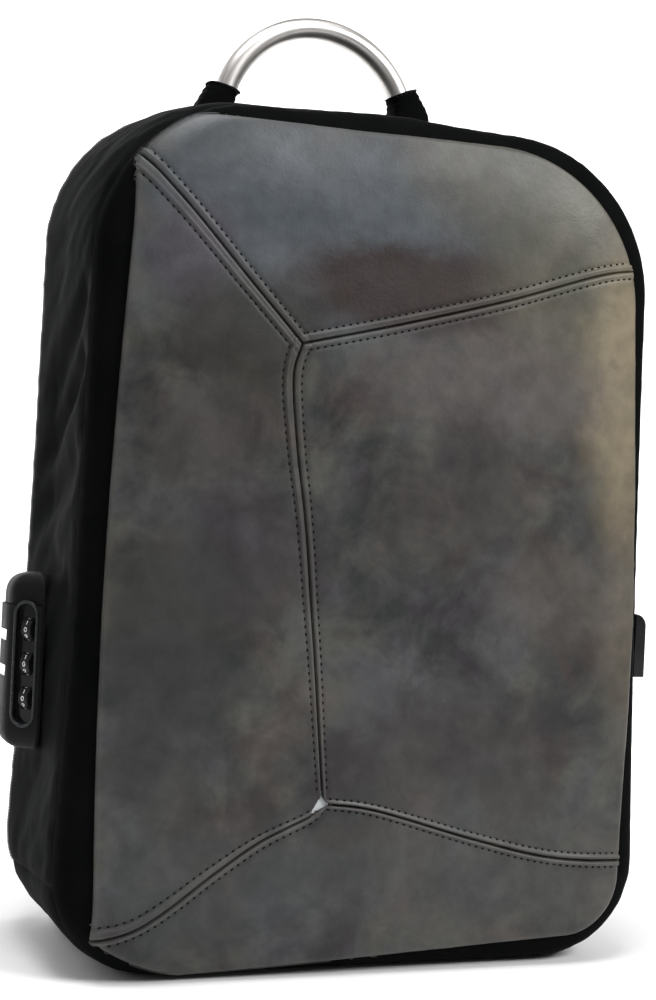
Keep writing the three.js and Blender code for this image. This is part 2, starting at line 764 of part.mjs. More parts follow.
const leatherSheet = solidOf(skinDish(rowsBetween(0, past("front_seam", -GAP)), GAP + LEATHER, GAP, -1));
let sewnSheet = leatherSheet.intersect(frontPrism(leatherOutline()));
for (const name of Object.keys(SEAMS)) sewnSheet = sewnSheet.subtract(seamStrip(name));
const patchHole = frontPrism(patchShape(PATCH_SIZE + 2 * GAP));
for (const [name, edges] of Object.entries(PANEL_EDGES)) {
  const corners = edges.filter((p, i) => p.distanceTo(edges[(i + 1) % edges.length]) > GAP / 10);
  const panel = sewnSheet.subtract(patchHole).intersect(frontPrism(new THREE.Shape(corners)));
  addPiece(name, geometryFrom(panel), MATERIALS.leather);
}
const patch = leatherSheet.intersect(frontPrism(patchShape(PATCH_SIZE)));
addPiece("seam_junction_patch", geometryFrom(patch), MATERIALS.patch);

// Where the body's surface lies, so that what stands on it can be set against it
function loopAtDepth(y) {
  let row = rowOf("front_seam");
  while (row + 1 < SKIN.length && SKIN[row + 1].y < y) row++;
  return skinLoop(row + (y - SKIN[row].y) / (SKIN[row + 1].y - SKIN[row].y), 0);
}

function rowDepth(name) {
  return SKIN[rowOf(name)].y;
}

function sideAt(side, y, z) {
  const loop = loopAtDepth(y).filter((p) => p.x * side > 0);
  let best = 0;
  for (let i = 0; i + 1 < loop.length; i++) {
    const [a, b] = [loop[i], loop[i + 1]];
    if ((a.z - z) * (b.z - z) > 0 || a.z === b.z) continue;
    const x = mix(a.x, b.x, (z - a.z) / (b.z - a.z));
    if (Math.abs(x) > Math.abs(best)) best = x;
  }
  return best;
}

function topAt(x, y) {
  const loop = loopAtDepth(y);
  let best = 0;
  for (let i = 0; i + 1 < loop.length; i++) {
    const [a, b] = [loop[i], loop[i + 1]];
    if ((a.x - x) * (b.x - x) > 0 || a.x === b.x) continue;
    best = Math.max(best, mix(a.z, b.z, (x - a.x) / (b.x - a.x)));
  }
  return best;
}

// A box given by its middle and its size
function boxSolid(middle, size) {
  const geometry = new THREE.BoxGeometry(size.x, size.y, size.z);
  geometry.translate(middle.x, middle.y, middle.z);
  return solidOf(geometry);
}

// Points of a rounded rectangle round a middle, in a plane given by two directions. A higher corner power
// gives tighter corners.
function roundedLoop(middle, wide, thick, width, thickness, count, corner = 4) {
  const points = [];
  for (let i = 0; i < count; i++) {
    const turn = (2 * Math.PI * (i + 0.5)) / count;
    const bend = (v) => Math.sign(v) * Math.abs(v) ** (2 / corner);
    const a = (bend(Math.cos(turn)) * width) / 2;
    const b = (bend(Math.sin(turn)) * thickness) / 2;
    points.push(middle.clone().addScaledVector(wide, a).addScaledVector(thick, b));
  }
  return points;
}

// Handle
const handleY = FRONT + HANDLE_DEPTH;
const handleZ = BODY_HEIGHT + HANDLE_RISE - HANDLE_RADIUS;

function handlePoint(degrees, shift = 0) {
  const turn = THREE.MathUtils.degToRad(degrees + HANDLE_LEAN);
  const radius = HANDLE_RADIUS + shift;
  return new THREE.Vector3(radius * Math.sin(turn), handleY, handleZ + radius * Math.cos(turn));
}

const TUBE_SIDES = 14;
const TUBE_STEPS = 20;

function handleArc(radius, reach) {
  const stops = 12;
  const points = [];
  for (let i = 0; i <= stops; i++) points.push(handlePoint(mix(-reach, reach, i / stops)));
  const section = new THREE.Shape().absarc(0, 0, radius, 0, 2 * Math.PI);
  const extrudePath = new THREE.CatmullRomCurve3(points);
  const curveSegments = TUBE_SIDES / 2;
  const settings = { steps: TUBE_STEPS, curveSegments, extrudePath, bevelEnabled: false };
  return new THREE.ExtrudeGeometry(section, settings);
}

const CUFF_SIDES = 12;
const CUFF_CORNER = 5;
const CUFF_BEND = { along: 0.45, narrow: 0.6 }; // where the cuff turns from its foot into its mouth

// A loop of a cuff at an angle round the handle's arc, or level at a height where one is given
function cuffLoop(side, degrees, width, depth, z) {
  const turn = THREE.MathUtils.degToRad(side * degrees + HANDLE_LEAN);
  const across = new THREE.Vector3(Math.sin(turn), 0, Math.cos(turn));
  const middle = handlePoint(side * degrees, CUFF_SHIFT * (z === undefined ? 1 : 2));
  if (z !== undefined) {
    middle.z = z;
    across.set(side, 0, 0);
  }
  return roundedLoop(middle, across, new THREE.Vector3(0, 1, 0), width, depth, CUFF_SIDES, CUFF_CORNER);
}

addPiece("handle_tube", handleArc(HANDLE_TUBE / 2, HANDLE_REACH), MATERIALS.aluminium);
const boreReach = mix(HANDLE_REACH, CUFF_TURN, -0.5);
const cuffBore = solidOf(handleArc(HANDLE_TUBE / 2 + GAP, boreReach));
const cuffMouth = HANDLE_TUBE + 2 * CUFF_WALL;
const bendTurn = mix(90, CUFF_TURN, CUFF_BEND.along);
const bendWidth = mix(CUFF_FOOT, cuffMouth, CUFF_BEND.narrow);
for (const [name, side] of [["handle_cuff_left", -1], ["handle_cuff_right", 1]]) {
  const foot = topAt(side * (HANDLE_RADIUS - CUFF_FOOT / 2), handleY - cuffMouth / 2) + GAP;
  const cuff = loft([
    cuffLoop(side, 90, CUFF_FOOT, cuffMouth + CUFF_WALL, foot),
    cuffLoop(side, bendTurn, bendWidth, cuffMouth + CUFF_WALL / 2),
    cuffLoop(side, CUFF_TURN, cuffMouth, cuffMouth),
  ]);
  addPiece(name, geometryFrom(solidOf(cuff).subtract(cuffBore)), MATERIALS.nylon);
}

// Lock. across runs from its front edge to its back edge and rise stands out from the body.
const lockY = FRONT + LOCK_FRONT;
const lockHalf = LOCK_LENGTH / 2;
const lockSeat = Math.min(
  ...[0, 0.5, 1].flatMap((share) =>
    [-lockHalf, 0, lockHalf].map((z) => sideAt(-1, lockY + LOCK_WIDTH * share, LOCK_MIDDLE + z)),
  ),
) - GAP;

// The dials reach through a well in the cloth behind the lock
const lockWell = boxSolid(
  new THREE.Vector3(lockSeat, lockY + LOCK_WIDTH / 2, LOCK_MIDDLE),
  new THREE.Vector3(4 * BODY_FLARE, LOCK_WIDTH - 2 * LOCK_EDGE, LOCK_LENGTH - 4 * LOCK_EDGE),
);
sideBand.geometry = geometryFrom(solidOf(sideBand.geometry).subtract(lockWell));

function lockPoint(across, rise, z) {
  return new THREE.Vector3(lockSeat - rise, lockY + across, z);
}

function lockBody(from, to, shrink) {
  const middle = 0.5;
  const loops = LOCK_STATIONS.map((station) =>
    LOCK_PROFILE.map((p) =>
      lockPoint(
        mix(middle, p.across, station.size) * LOCK_WIDTH + (middle - p.across) * 2 * shrink,
        Math.max(0, p.rise * station.size * LOCK_HEIGHT - (p.rise > 0 ? shrink : 0)),
        LOCK_MIDDLE + lockHalf * station.along,
      ),
    ),
  );
  const slab = boxSolid(
    new THREE.Vector3(lockSeat, lockY + LOCK_WIDTH / 2, (from + to) / 2),
    new THREE.Vector3(4 * LOCK_HEIGHT, 2 * LOCK_WIDTH, to - from),
  );
  return solidOf(loft(loops)).intersect(slab);
}

// The slanted face that holds the dials: its middle, its direction towards the back, and its way inwards
const faceFrom = LOCK_PROFILE[2];
const faceTo = LOCK_PROFILE[3];
const faceStart = lockPoint(faceFrom.across * LOCK_WIDTH, faceFrom.rise * LOCK_HEIGHT, LOCK_MIDDLE);
const faceEnd = lockPoint(faceTo.across * LOCK_WIDTH, faceTo.rise * LOCK_HEIGHT, LOCK_MIDDLE);
const faceAlong = faceEnd.clone().sub(faceStart).normalize();
const faceIn = faceAlong.clone().cross(new THREE.Vector3(0, 0, 1));
const faceMiddle = faceStart.clone().add(faceEnd).multiplyScalar(0.5);
faceMiddle.z += DIAL_SHIFT;

// Sets a shape drawn in the face's plane, and drawn inwards from it, in place on the lock
function onFace(geometry, along, up, inward) {
  const place = new THREE.Matrix4().makeBasis(faceAlong, new THREE.Vector3(0, 0, 1), faceIn);
  geometry.translate(along, up, inward);
  geometry.applyMatrix4(place);
  geometry.translate(faceMiddle.x, faceMiddle.y, faceMiddle.z);
  return geometry;
}

// A shape in the plane across a dial's axis, turned so that the axis lies along the face
function alongAxis(shape, width, curveSegments) {
  const geometry = new THREE.ExtrudeGeometry(shape, { depth: width, bevelEnabled: false, curveSegments });
  geometry.translate(0, 0, -width / 2);
  geometry.rotateY(Math.PI / 2);
  return geometry;
}

function windowCut() {
  const reach = LOCK_HEIGHT;
  const half = WINDOW_WIDTH / 2;
  const straight = WINDOW_LENGTH / 2 - half;
  const shape = new THREE.Shape();
  shape.absarc(0, straight, half, 0, Math.PI);
  shape.absarc(0, -straight, half, Math.PI, 2 * Math.PI);
  const depth = WINDOW_DEPTH + reach;
  const curveSegments = 5;
  const geometry = new THREE.ExtrudeGeometry(shape, { depth, bevelEnabled: false, curveSegments });
  return solidOf(onFace(geometry, 0, 0, -reach));
}

const dialInward = DIAL_RADIUS - DIAL_PROUD;

function dialPlace(index) {
  return DIAL_PITCH * (1 - index);
}

function dialBore(index) {
  const shape = new THREE.Shape().absarc(0, 0, DIAL_RADIUS + GAP, 0, 2 * Math.PI);
  return solidOf(onFace(alongAxis(shape, DIAL_WIDTH + 2 * GAP, 10), 0, dialPlace(index), dialInward));
}

// A dial with a shallow notch at the edge of each digit
function dialShape() {
  const notch = 3;
  const steps = notch * DIAL_DIGITS;
  const points = [];
  for (let i = 0; i < steps; i++) {
    const turn = (2 * Math.PI * i) / steps;
    const radius = i % notch === 0 ? DIAL_RADIUS - DIAL_NOTCH : DIAL_RADIUS;
    points.push(new THREE.Vector2(radius * Math.cos(turn), radius * Math.sin(turn)));
  }
  return new THREE.Shape(points);
}

function slotCut(index) {
  const reach = LOCK_WIDTH;
  const rise = LOCK_HEIGHT - SLOT_DEPTH + reach / 2;
  const middle = lockPoint(SLOT_START + reach / 2, rise, LOCK_MIDDLE + SLOT_SHIFT);
  middle.z += SLOT_PITCH * (index - 0.5);
  return boxSolid(middle, new THREE.Vector3(reach, reach, SLOT_HEIGHT));
}

const lockTop = LOCK_MIDDLE + lockHalf;
const releaseLow = lockTop - RELEASE_LENGTH;
const lockLow = LOCK_MIDDLE - LOCK_LENGTH; // well below its lower end
let housing = lockBody(lockLow, releaseLow - GAP, 0).subtract(windowCut());
for (let index = 0; index < 3; index++) {
  housing = housing.subtract(dialBore(index));
  const dial = onFace(alongAxis(dialShape(), DIAL_WIDTH, 1), 0, dialPlace(index), dialInward);
  addPiece("lock_dial_" + (index + 1), dial, MATERIALS.plastic);
}
for (let index = 0; index < 2; index++) housing = housing.subtract(slotCut(index));
addPiece("lock_housing", geometryFrom(housing), MATERIALS.plastic);
const release = lockBody(releaseLow, lockTop + GAP, RELEASE_STEP);
addPiece("lock_release", geometryFrom(release), MATERIALS.plastic);

// Charging port: a housing with a rounded upper outer corner, its back fitted to the body
const portY = FRONT + PORT_FRONT;
const portMiddle = PORT_LOW + PORT_LENGTH / 2;
const portOut = sideAt(1, portY + PORT_WIDTH, portMiddle) + GAP + PORT_HEIGHT;

// The housing's back is a plane just clear of the body
const portSeat = [0, 0.25, 0.5, 0.75, 1].reduce((most, share) => {
  const y = portY + PORT_WIDTH * share;
  const heights = [PORT_LOW, portMiddle, PORT_LOW + PORT_LENGTH];
  return Math.max(most, ...heights.map((z) => sideAt(1, y, z)));
}, 0) + 2 * GAP;

// A level loop round the housing or its socket, between two places across
function portLoop(from, to, z, width) {
  const middle = portY + PORT_WIDTH / 2;
  const corners = [[from, -1], [to, -1], [to, 1], [from, 1]];
  return corners.map(([x, way]) => new THREE.Vector3(x, middle + (way * width) / 2, z));
}

// From the top down the outer side rounds off, and below, a socket with an eased lip goes back up
const portLoops = [];
const portSteps = 4;
for (let i = 0; i <= portSteps; i++) {
  const turn = (Math.PI / 2) * (1 - i / portSteps);
  const [back, down] = [Math.cos(turn), Math.sin(turn)].map((v) => PORT_CORNER * (1 - v));
  portLoops.push(portLoop(portSeat, portOut - back, PORT_LOW + PORT_LENGTH - down, PORT_WIDTH));
}
portLoops.push(portLoop(portSeat, portOut, PORT_LOW, PORT_WIDTH));
const socketMiddle = (portSeat + portOut) / 2;
for (const up of [SOCKET_EASE, SOCKET_DEPTH]) {
  const half = SOCKET_HEIGHT / 2;
  portLoops.push(portLoop(socketMiddle - half, socketMiddle + half, PORT_LOW + up, SOCKET_WIDTH));
}
addPiece("port_housing", loft(portLoops), MATERIALS.plastic);

// Shoulder straps. A path point stands off the back by its row's share.
function strapPoint(side, row, thickness) {
  return new THREE.Vector3(
    side * STRAP_SPREAD * row.spread,
    BACK + GAP + thickness / 2 + STRAP_STAND * row.stand,
    STRAP_TOP * (1 - row.drop),
  );
}

function strapLoft(side, rows, width, thickness, count) {
  const points = rows.map((row) => strapPoint(side, row, thickness * (row.thick ?? 1)));
  const loops = rows.map((row, i) => {
    const before = points[Math.max(0, i - 1)];
    const after = points[Math.min(rows.length - 1, i + 1)];
    const down = after.clone().sub(before).setX(0).normalize();
    if (row.stand === 0) down.set(0, 0, -1);
    const out = new THREE.Vector3(0, -down.z, down.y);
    const wide = new THREE.Vector3(1, 0, 0);
    const [across, through] = [width * (row.width ?? 1), thickness * (row.thick ?? 1)];
    return roundedLoop(points[i], wide, out, across, through, count);
  });
  return loft(loops);
}

// An adjuster: two rails joined by an upper, a middle and a thin lower bar that the webbing passes behind
function adjusterSolid(side) {
  const slack = 2 * GAP; // between the webbing's edges and the rails
  const width = WEBBING_WIDTH + 2 * slack;
  const [first, second] = WEBBING_ROWS;
  const top = strapPoint(side, first, WEBBING_THICK);
  const up = top.clone().sub(strapPoint(side, second, WEBBING_THICK)).normalize();
  const out = new THREE.Vector3(0, up.z, -up.y).normalize();
  const rail = (WEBBING_THICK + ADJUSTER_THICK) / 2;
  const bar = (up, offset, thick) => {
    const length = width + 2 * (ADJUSTER_BAR - ADJUSTER_INSET);
    const geometry = new THREE.BoxGeometry(length, thick, ADJUSTER_BAR);
    return solidOf(geometry.translate(0, offset, up));
  };
  const post = (way) => {
    const geometry = new THREE.BoxGeometry(ADJUSTER_BAR, ADJUSTER_THICK, ADJUSTER_HEIGHT);
    return solidOf(geometry.translate((way * (width + ADJUSTER_BAR)) / 2, 0, 0));
  };
  const half = (ADJUSTER_HEIGHT - ADJUSTER_BAR) / 2;
  const thin = (ADJUSTER_THICK - WEBBING_THICK) / 2 - GAP;
  const middleBar = ADJUSTER_HEIGHT / 24; // how far the middle bar lies above the middle
  let solid = post(-1).add(post(1)).add(bar(half, 0, ADJUSTER_THICK)).add(bar(middleBar, rail / 2, thin));
  solid = solid.add(bar(-half, (thin + WEBBING_THICK) / 2 + GAP, thin));
  const geometry = geometryFrom(solid);
  const middle = top.clone().addScaledVector(up, ADJUSTER_HEIGHT / 4 - ADJUSTER_BAR);
  const place = new THREE.Matrix4().makeBasis(out.clone().cross(up), out, up);
  geometry.applyMatrix4(place);
  return geometry.translate(middle.x, middle.y, middle.z);
}

const STRAP_SIDES = 12;
const WEBBING_SIDES = 8;
for (const [word, side] of [["left", -1], ["right", 1]]) {
  const strap = strapLoft(side, STRAP_ROWS, STRAP_WIDTH, STRAP_THICK, STRAP_SIDES);
  const webbing = strapLoft(side, WEBBING_ROWS, WEBBING_WIDTH, WEBBING_THICK, WEBBING_SIDES);
  addPiece("shoulder_strap_" + word, strap, MATERIALS.nylon);
  addPiece("strap_webbing_" + word, webbing, MATERIALS.nylon);
  addPiece("strap_adjuster_" + word, adjusterSolid(side), MATERIALS.plastic);
}

// Zip sliders on the right side, one above the other, each with its puller
const SLIDER_SIDES = 10;
const SLIDER_ROWS = [
  { rise: 0, width: 1, length: 1 },
  { rise: 0.7, width: 1, length: 1 },
  { rise: 1, width: 0.7, length: 0.8 },
];
const zipY = (rowDepth("teeth_front") + rowDepth("teeth_back")) / 2;
for (const [name, way] of [["zip_slider_upper", 1], ["zip_slider_lower", -1]]) {
  const z = SLIDER_MIDDLE + way * (SLIDER_LENGTH / 2 + GAP);
  const seat = sideAt(1, rowDepth("teeth_front"), z - SLIDER_LENGTH / 2) + TOOTH_HEIGHT + GAP;
  const body = loft(SLIDER_ROWS.map((row) =>
    roundedLoop(
      new THREE.Vector3(seat + SLIDER_THICK * row.rise, zipY, z),
      new THREE.Vector3(0, 1, 0),
      new THREE.Vector3(0, 0, 1),
      SLIDER_WIDTH * row.width,
      SLIDER_LENGTH * row.length,
      SLIDER_SIDES,
    ),
  ));
  const hang = z + way * (PULLER_LENGTH / 2 - SLIDER_LENGTH / 4);
  const puller = boxSolid(
    new THREE.Vector3(seat + SLIDER_THICK, zipY, hang),
    new THREE.Vector3(PULLER_THICK, PULLER_WIDTH, PULLER_LENGTH),
  );
  addPiece(name, geometryFrom(solidOf(body).add(puller)), MATERIALS.metal);
}

export default backpack;
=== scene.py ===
import math

import bmesh
import bpy
import numpy as np
from mathutils import Matrix, Vector, noise
from mathutils import geometry as plane_geometry
from mathutils.bvhtree import BVHTree


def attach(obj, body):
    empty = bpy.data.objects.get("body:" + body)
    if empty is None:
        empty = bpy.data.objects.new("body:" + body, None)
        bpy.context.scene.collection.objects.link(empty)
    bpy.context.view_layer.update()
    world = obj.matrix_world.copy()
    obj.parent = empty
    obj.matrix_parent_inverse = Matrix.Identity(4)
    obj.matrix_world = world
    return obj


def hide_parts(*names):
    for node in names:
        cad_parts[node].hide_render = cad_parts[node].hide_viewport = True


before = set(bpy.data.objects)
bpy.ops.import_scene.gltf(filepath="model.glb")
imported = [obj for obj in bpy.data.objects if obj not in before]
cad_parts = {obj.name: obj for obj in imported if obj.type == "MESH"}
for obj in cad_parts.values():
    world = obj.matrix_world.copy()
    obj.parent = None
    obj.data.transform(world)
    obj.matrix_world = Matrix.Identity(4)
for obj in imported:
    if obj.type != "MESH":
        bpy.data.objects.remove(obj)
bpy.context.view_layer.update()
scene = bpy.context.scene

# Camera, from the photograph's viewing angle
CAMERA_PLACE = Vector((-0.3868, -1.0063, 0.2529))
CAMERA_YAW = 0.3644
CAMERA_PITCH = -0.0047
CAMERA_ROLL = 0.0452
CAMERA_LENS = 68.4


def make_camera():
    level = math.cos(CAMERA_PITCH)
    look = Vector((math.sin(CAMERA_YAW) * level, math.cos(CAMERA_YAW) * level, math.sin(CAMERA_PITCH)))
    right = Vector((math.cos(CAMERA_YAW), -math.sin(CAMERA_YAW), 0))
    up = right.cross(look)
    across = right * math.cos(CAMERA_ROLL) + up * math.sin(CAMERA_ROLL)
    high = up * math.cos(CAMERA_ROLL) - right * math.sin(CAMERA_ROLL)
    turn = Matrix((across, high, -look)).transposed()
    data = bpy.data.cameras.new("camera")
    data.lens = CAMERA_LENS
    camera = bpy.data.objects.new("camera", data)
    camera.matrix_world = Matrix.Translation(CAMERA_PLACE) @ turn.to_4x4()
    scene.collection.objects.link(camera)
    scene.camera = camera


make_camera()

# Body sizes
BODY_WIDTH = 0.325
BASE_SPREAD = 0.020
SPREAD_BEND = 2.2
BODY_HEIGHT = 0.465
BODY_DEPTH = 0.160
BODY_FLARE = 0.018
TOP_RADIUS = 0.080
BASE_RADIUS = 0.060
TOP_CROWN = 0.003
FRONT_SWELL = 0.021
FRONT_ROLL = 0.022
CLOTH = 0.002
GAP = 0.0003
FRONT = -BODY_DEPTH / 2
BACK = BODY_DEPTH / 2
BASE_SEAM_FRONT = 0.047
BASE_SEAM_BACK = 0.038
FOLD_SINK = 0.006
FOLD_BREADTH = 0.011

# Points round each loop of the body: the sides, corners, top and base
COLUMNS = {"left": 96, "corner": 34, "top": 56, "right": 60, "base_corner": 20, "base": 44}
SIDE_LAST = COLUMNS["left"] + 2 * COLUMNS["corner"] + COLUMNS["top"] + COLUMNS["right"]
LOOP_COUNT = SIDE_LAST + 2 * COLUMNS["base_corner"] + COLUMNS["base"]

# Sections from the front seam to the back rim, as in the model: depth is a share of the body's depth,
# side, top, base and shift are shares of the flare, and the rounds are shares of the corner radii
SECTION_COLUMNS = ("name", "depth", "side", "top", "base", "shift", "top_round", "base_round")
SECTIONS = [
    dict(zip(SECTION_COLUMNS, row))
    for row in (
        ("front_seam", 0.075, 0.27, 0.6, 0.06, -0.19, 1.06, 0.92),
        ("brow", 0.113, 0.17, 0.52, 0.02, -0.15, 1.04, 0.93),
        ("shoulder", 0.17, 0.1, 0.44, 0, -0.1, 1.02, 0.94),
        ("front_third", 0.25, 0.05, 0.33, 0, -0.05, 1.01, 0.96),
        ("front_half", 0.36, 0.03, 0.22, 0, -0.02, 1, 0.98),
        ("middle", 0.47, 0.02, 0.12, 0, 0, 1, 1),
        ("back_half", 0.58, 0, 0.05, 0, 0, 1, 1),
        ("zip_front", 0.7, 0, 0, 0, 0, 1, 1),
        ("teeth_front", 0.717, 0.01, 0, 0, 0, 1, 1),
        ("teeth_back", 0.733, 0.02, 0, 0, 0, 1, 1),
        ("zip_back", 0.75, 0.04, 0, 0, 0, 1, 1),
        ("handle_row", 0.86, 0.25, 0.08, 0, 0, 1, 1),
        ("back_brow", 0.93, 0.5, 0.28, 0.04, 0, 0.98, 0.97),
        ("back_seam", 0.968, 0.78, 0.56, 0.25, 0, 0.95, 0.93),
    )
]

# Rings of the front inside its seam: inset as a share of the roll, swell of the bulge, scale about the middle
FRONT_RINGS = [
    {"inset": 1, "swell": 1, "scale": 0.0005},
    {"inset": 1, "swell": 1, "scale": 0.3},
    {"inset": 1, "swell": 0.945, "scale": 0.68},
    {"inset": 1, "swell": 0.86, "scale": 1},
    {"inset": 0.5, "swell": 0.73, "scale": 1},
    {"inset": 0.2, "swell": 0.5, "scale": 1},
    {"inset": 0.06, "swell": 0.25, "scale": 1},
]

# Rings of the back inside its seam: inset as a share of the flare, depth as a share of the body's
BACK_RINGS = [
    {"inset": 0.4, "depth": 0.99, "scale": 1},
    {"inset": 1, "depth": 1, "scale": 1},
    {"inset": 1, "depth": 1, "scale": 0.3},
    {"inset": 1, "depth": 1, "scale": 0.0005},
]

# Long folds of the left side: place of the middle as shares of depth and height, reach as a share of the
# depth, tilt in degrees down towards the back, sink and breadth as shares of a plain fold
FOLD_COLUMNS = ("depth", "height", "reach", "tilt", "sink", "breadth")
FOLDS = [
    dict(zip(FOLD_COLUMNS, row))
    for row in (
        (0.34, 0.69, 0.42, 38, 0.7, 1),
        (0.4, 0.61, 0.42, 36, 1, 1),
        (0.46, 0.52, 0.4, 22, 0.9, 1.2),
        (0.2, 0.43, 0.25, -20, 0.4, 1.1),
        (0.45, 0.2, 0.3, 15, 0.4, 1.3),
    )
]


def mix(a, b, share):
    return a + (b - a) * share


def smooth_step(low, high, value):
    """0 below low, 1 above high and an S curve between, for numbers and arrays."""
    share = np.clip((value - low) / (high - low), 0, 1)
    return share * share * (3 - 2 * share)


def arc(x, z, radius, start, end):
    """A piece of a path in X and Z: its length, and its points at shares of it."""
    length = abs(end - start) * radius
    return length, lambda s: (x + radius * np.cos(mix(start, end, s)), z + radius * np.sin(mix(start, end, s)))


def line(x0, z0, x1, z1):
    return math.hypot(x1 - x0, z1 - z0), lambda s: (mix(x0, x1, s), mix(z0, z1, s))


def spaced(parts, count):
    """Evenly spaced points along joined pieces, without the last point."""
    total = sum(length for length, place in parts)
    runs = np.arange(count) / count * total
    points = np.zeros((count, 2))
    start = 0
    for length, place in parts:
        inside = (runs >= start) & (runs <= start + length + 1e-9)
        share = (runs[inside] - start) / max(length, 1e-9)
        points[inside] = np.stack(place(share), -1)
        start += length
    return points


def base_seam(y):
    return mix(BASE_SEAM_FRONT, BASE_SEAM_BACK, (y - FRONT) / BODY_DEPTH)


def body_loop(section, y, inset, scale):
    """One loop of the body's skin at a depth."""
    shift = BODY_FLARE * section["shift"]
    left = -BODY_WIDTH / 2 + BODY_FLARE * section["side"] + shift + inset
    right = BODY_WIDTH / 2 - BODY_FLARE * section["side"] + shift - inset
    high = BODY_HEIGHT - TOP_CROWN - BODY_FLARE * section["top"] - inset
    low = BODY_FLARE * section["base"] + inset
    top_radius = TOP_RADIUS * section["top_round"] - inset
    base_radius = BASE_RADIUS * section["base_round"] - inset
    seam = base_seam(y)
    corner_low = low + base_radius
    corner_high = high - top_radius
    turn = math.asin(min(1, max(0, corner_low - seam) / base_radius))
    start = max(seam, corner_low)
    top_left = left + top_radius
    top_right = right - top_radius
    base_left = left + base_radius
    base_right = right - base_radius
    half = math.pi / 2
    parts = (
        ("left", [
            arc(base_left, corner_low, base_radius, math.pi + turn, math.pi),
            line(left, start, left, corner_high),
        ]),
        ("corner", [arc(top_left, corner_high, top_radius, math.pi, half)]),
        ("top", [line(top_left, high, top_right, high)]),
        ("corner", [arc(top_right, corner_high, top_radius, half, 0)]),
        ("right", [
            line(right, corner_high, right, start),
            arc(base_right, corner_low, base_radius, 0, -turn),
        ]),
        ("base_corner", [
            line(right, start, right, corner_low),
            arc(base_right, corner_low, base_radius, -turn, -half),
        ]),
        ("base", [line(base_right, low, base_left, low)]),
        ("base_corner", [
            arc(base_left, corner_low, base_radius, -half, -math.pi + turn),
            line(left, corner_low, left, start),
        ]),
    )
    points = np.concatenate([spaced(pieces, COLUMNS[name]) for name, pieces in parts])
    middle = np.array([(left + right) / 2, (low + high) / 2])
    off = np.abs(points[:, 0] - middle[0])
    half_top = (top_right - top_left) / 2
    on_top = (points[:, 1] > middle[1]) & (off < half_top)
    points[:, 1] += np.where(on_top, TOP_CROWN * np.cos(np.pi * off / (2 * half_top)) ** 2, 0)
    points = middle + (points - middle) * scale
    rise = np.clip(1 - points[:, 1] / BODY_HEIGHT, 0, None)
    points[:, 0] *= 1 + BASE_SPREAD / BODY_WIDTH * rise**SPREAD_BEND
    return np.stack([points[:, 0], np.full(LOOP_COUNT, y), points[:, 1]], -1)


def body_loops():
    """The loops from the middle of the front to the middle of the back."""
    seam, rim = SECTIONS[0], SECTIONS[-1]
    loops = []
    for ring in FRONT_RINGS:
        y = FRONT + BODY_DEPTH * seam["depth"] - FRONT_SWELL * ring["swell"]
        loops.append(body_loop(seam, y, FRONT_ROLL * ring["inset"], ring["scale"]))
    for section in SECTIONS:
        loops.append(body_loop(section, FRONT + BODY_DEPTH * section["depth"], 0, 1))
    for ring in BACK_RINGS:
        y = FRONT + BODY_DEPTH * ring["depth"]
        loops.append(body_loop(rim, y, BODY_FLARE * ring["inset"], ring["scale"]))
    return np.array(loops)


LOOPS = body_loops()
LAST_ROW = len(LOOPS) - 1


def row_of(name):
    return len(FRONT_RINGS) + [section["name"] for section in SECTIONS].index(name)


def skin(rows):
    """Points of the body's skin at places between its rows, on a smooth curve through them."""
    rows = np.asarray(rows, float)
    chords = np.maximum(np.linalg.norm(np.diff(LOOPS, axis=0), axis=2, keepdims=True), 1e-6)
    slopes = np.diff(LOOPS, axis=0) / chords
    tangents = np.empty_like(LOOPS)
    tangents[0], tangents[-1] = slopes[0], slopes[-1]
    before, after = chords[:-1], chords[1:]
    tangents[1:-1] = (slopes[:-1] * after + slopes[1:] * before) / (before + after)
    k = np.minimum(np.floor(rows).astype(int), LAST_ROW - 1)
    t = (rows - k)[:, None, None]
    start, end = LOOPS[k], LOOPS[k + 1]
    reach = chords[k]
    return (
        (2 * t**3 - 3 * t**2 + 1) * start
        + (t**3 - 2 * t**2 + t) * reach * tangents[k]
        + (3 * t**2 - 2 * t**3) * end
        + (t**3 - t**2) * reach * tangents[k + 1]
    )


def grid_normals(points):
    """Outward normals of a grid of skin points, rows by whole loops."""
    along = np.roll(points, -1, axis=1) - np.roll(points, 1, axis=1)
    back = np.gradient(points, axis=0)
    normals = np.cross(along, back)
    return normals / np.maximum(np.linalg.norm(normals, axis=2, keepdims=True), 1e-12)


def rows_between(start, end, step):
    return np.linspace(start, end, max(2, math.ceil((end - start) / step) + 1))


def grid_faces(rows, columns, closed=False):
    """Quads of a grid of points. A closed grid joins its last column to its first."""
    spans = columns if closed else columns - 1
    row, column = np.meshgrid(np.arange(rows - 1), np.arange(spans), indexing="ij")
    a = row * columns + column
    b = row * columns + (column + 1) % columns
    return np.stack([a, b, b + columns, a + columns], -1).reshape(-1, 4)


def add_mesh(name, points, faces, material, replaces=(), body="root", smooth=True):
    """A new piece, which rides on a body, takes its finish from a slot and stands for CAD nodes."""
    data = bpy.data.meshes.new(name)
    faces = [tuple(int(i) for i in face) for face in faces]
    data.from_pydata([tuple(map(float, p)) for p in points], [], faces)
    data.polygons.foreach_set("use_smooth", [smooth] * len(data.polygons))
    data.materials.append(material)
    piece = bpy.data.objects.new(name, data)
    scene.collection.objects.link(piece)
    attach(piece, body)
    if replaces:
        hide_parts(*replaces)
    return piece


def solidify(piece, thickness, offset=-1):
    modifier = piece.modifiers.new("wall", "SOLIDIFY")
    modifier.thickness = thickness
    modifier.offset = offset
    modifier.use_even_offset = False
    return piece


def set_values(piece, name, values):
    """One number for each vertex, which the piece's material reads."""
    piece.data.attributes.new(name, "FLOAT", "POINT").data.foreach_set("value", np.asarray(values, np.float32))


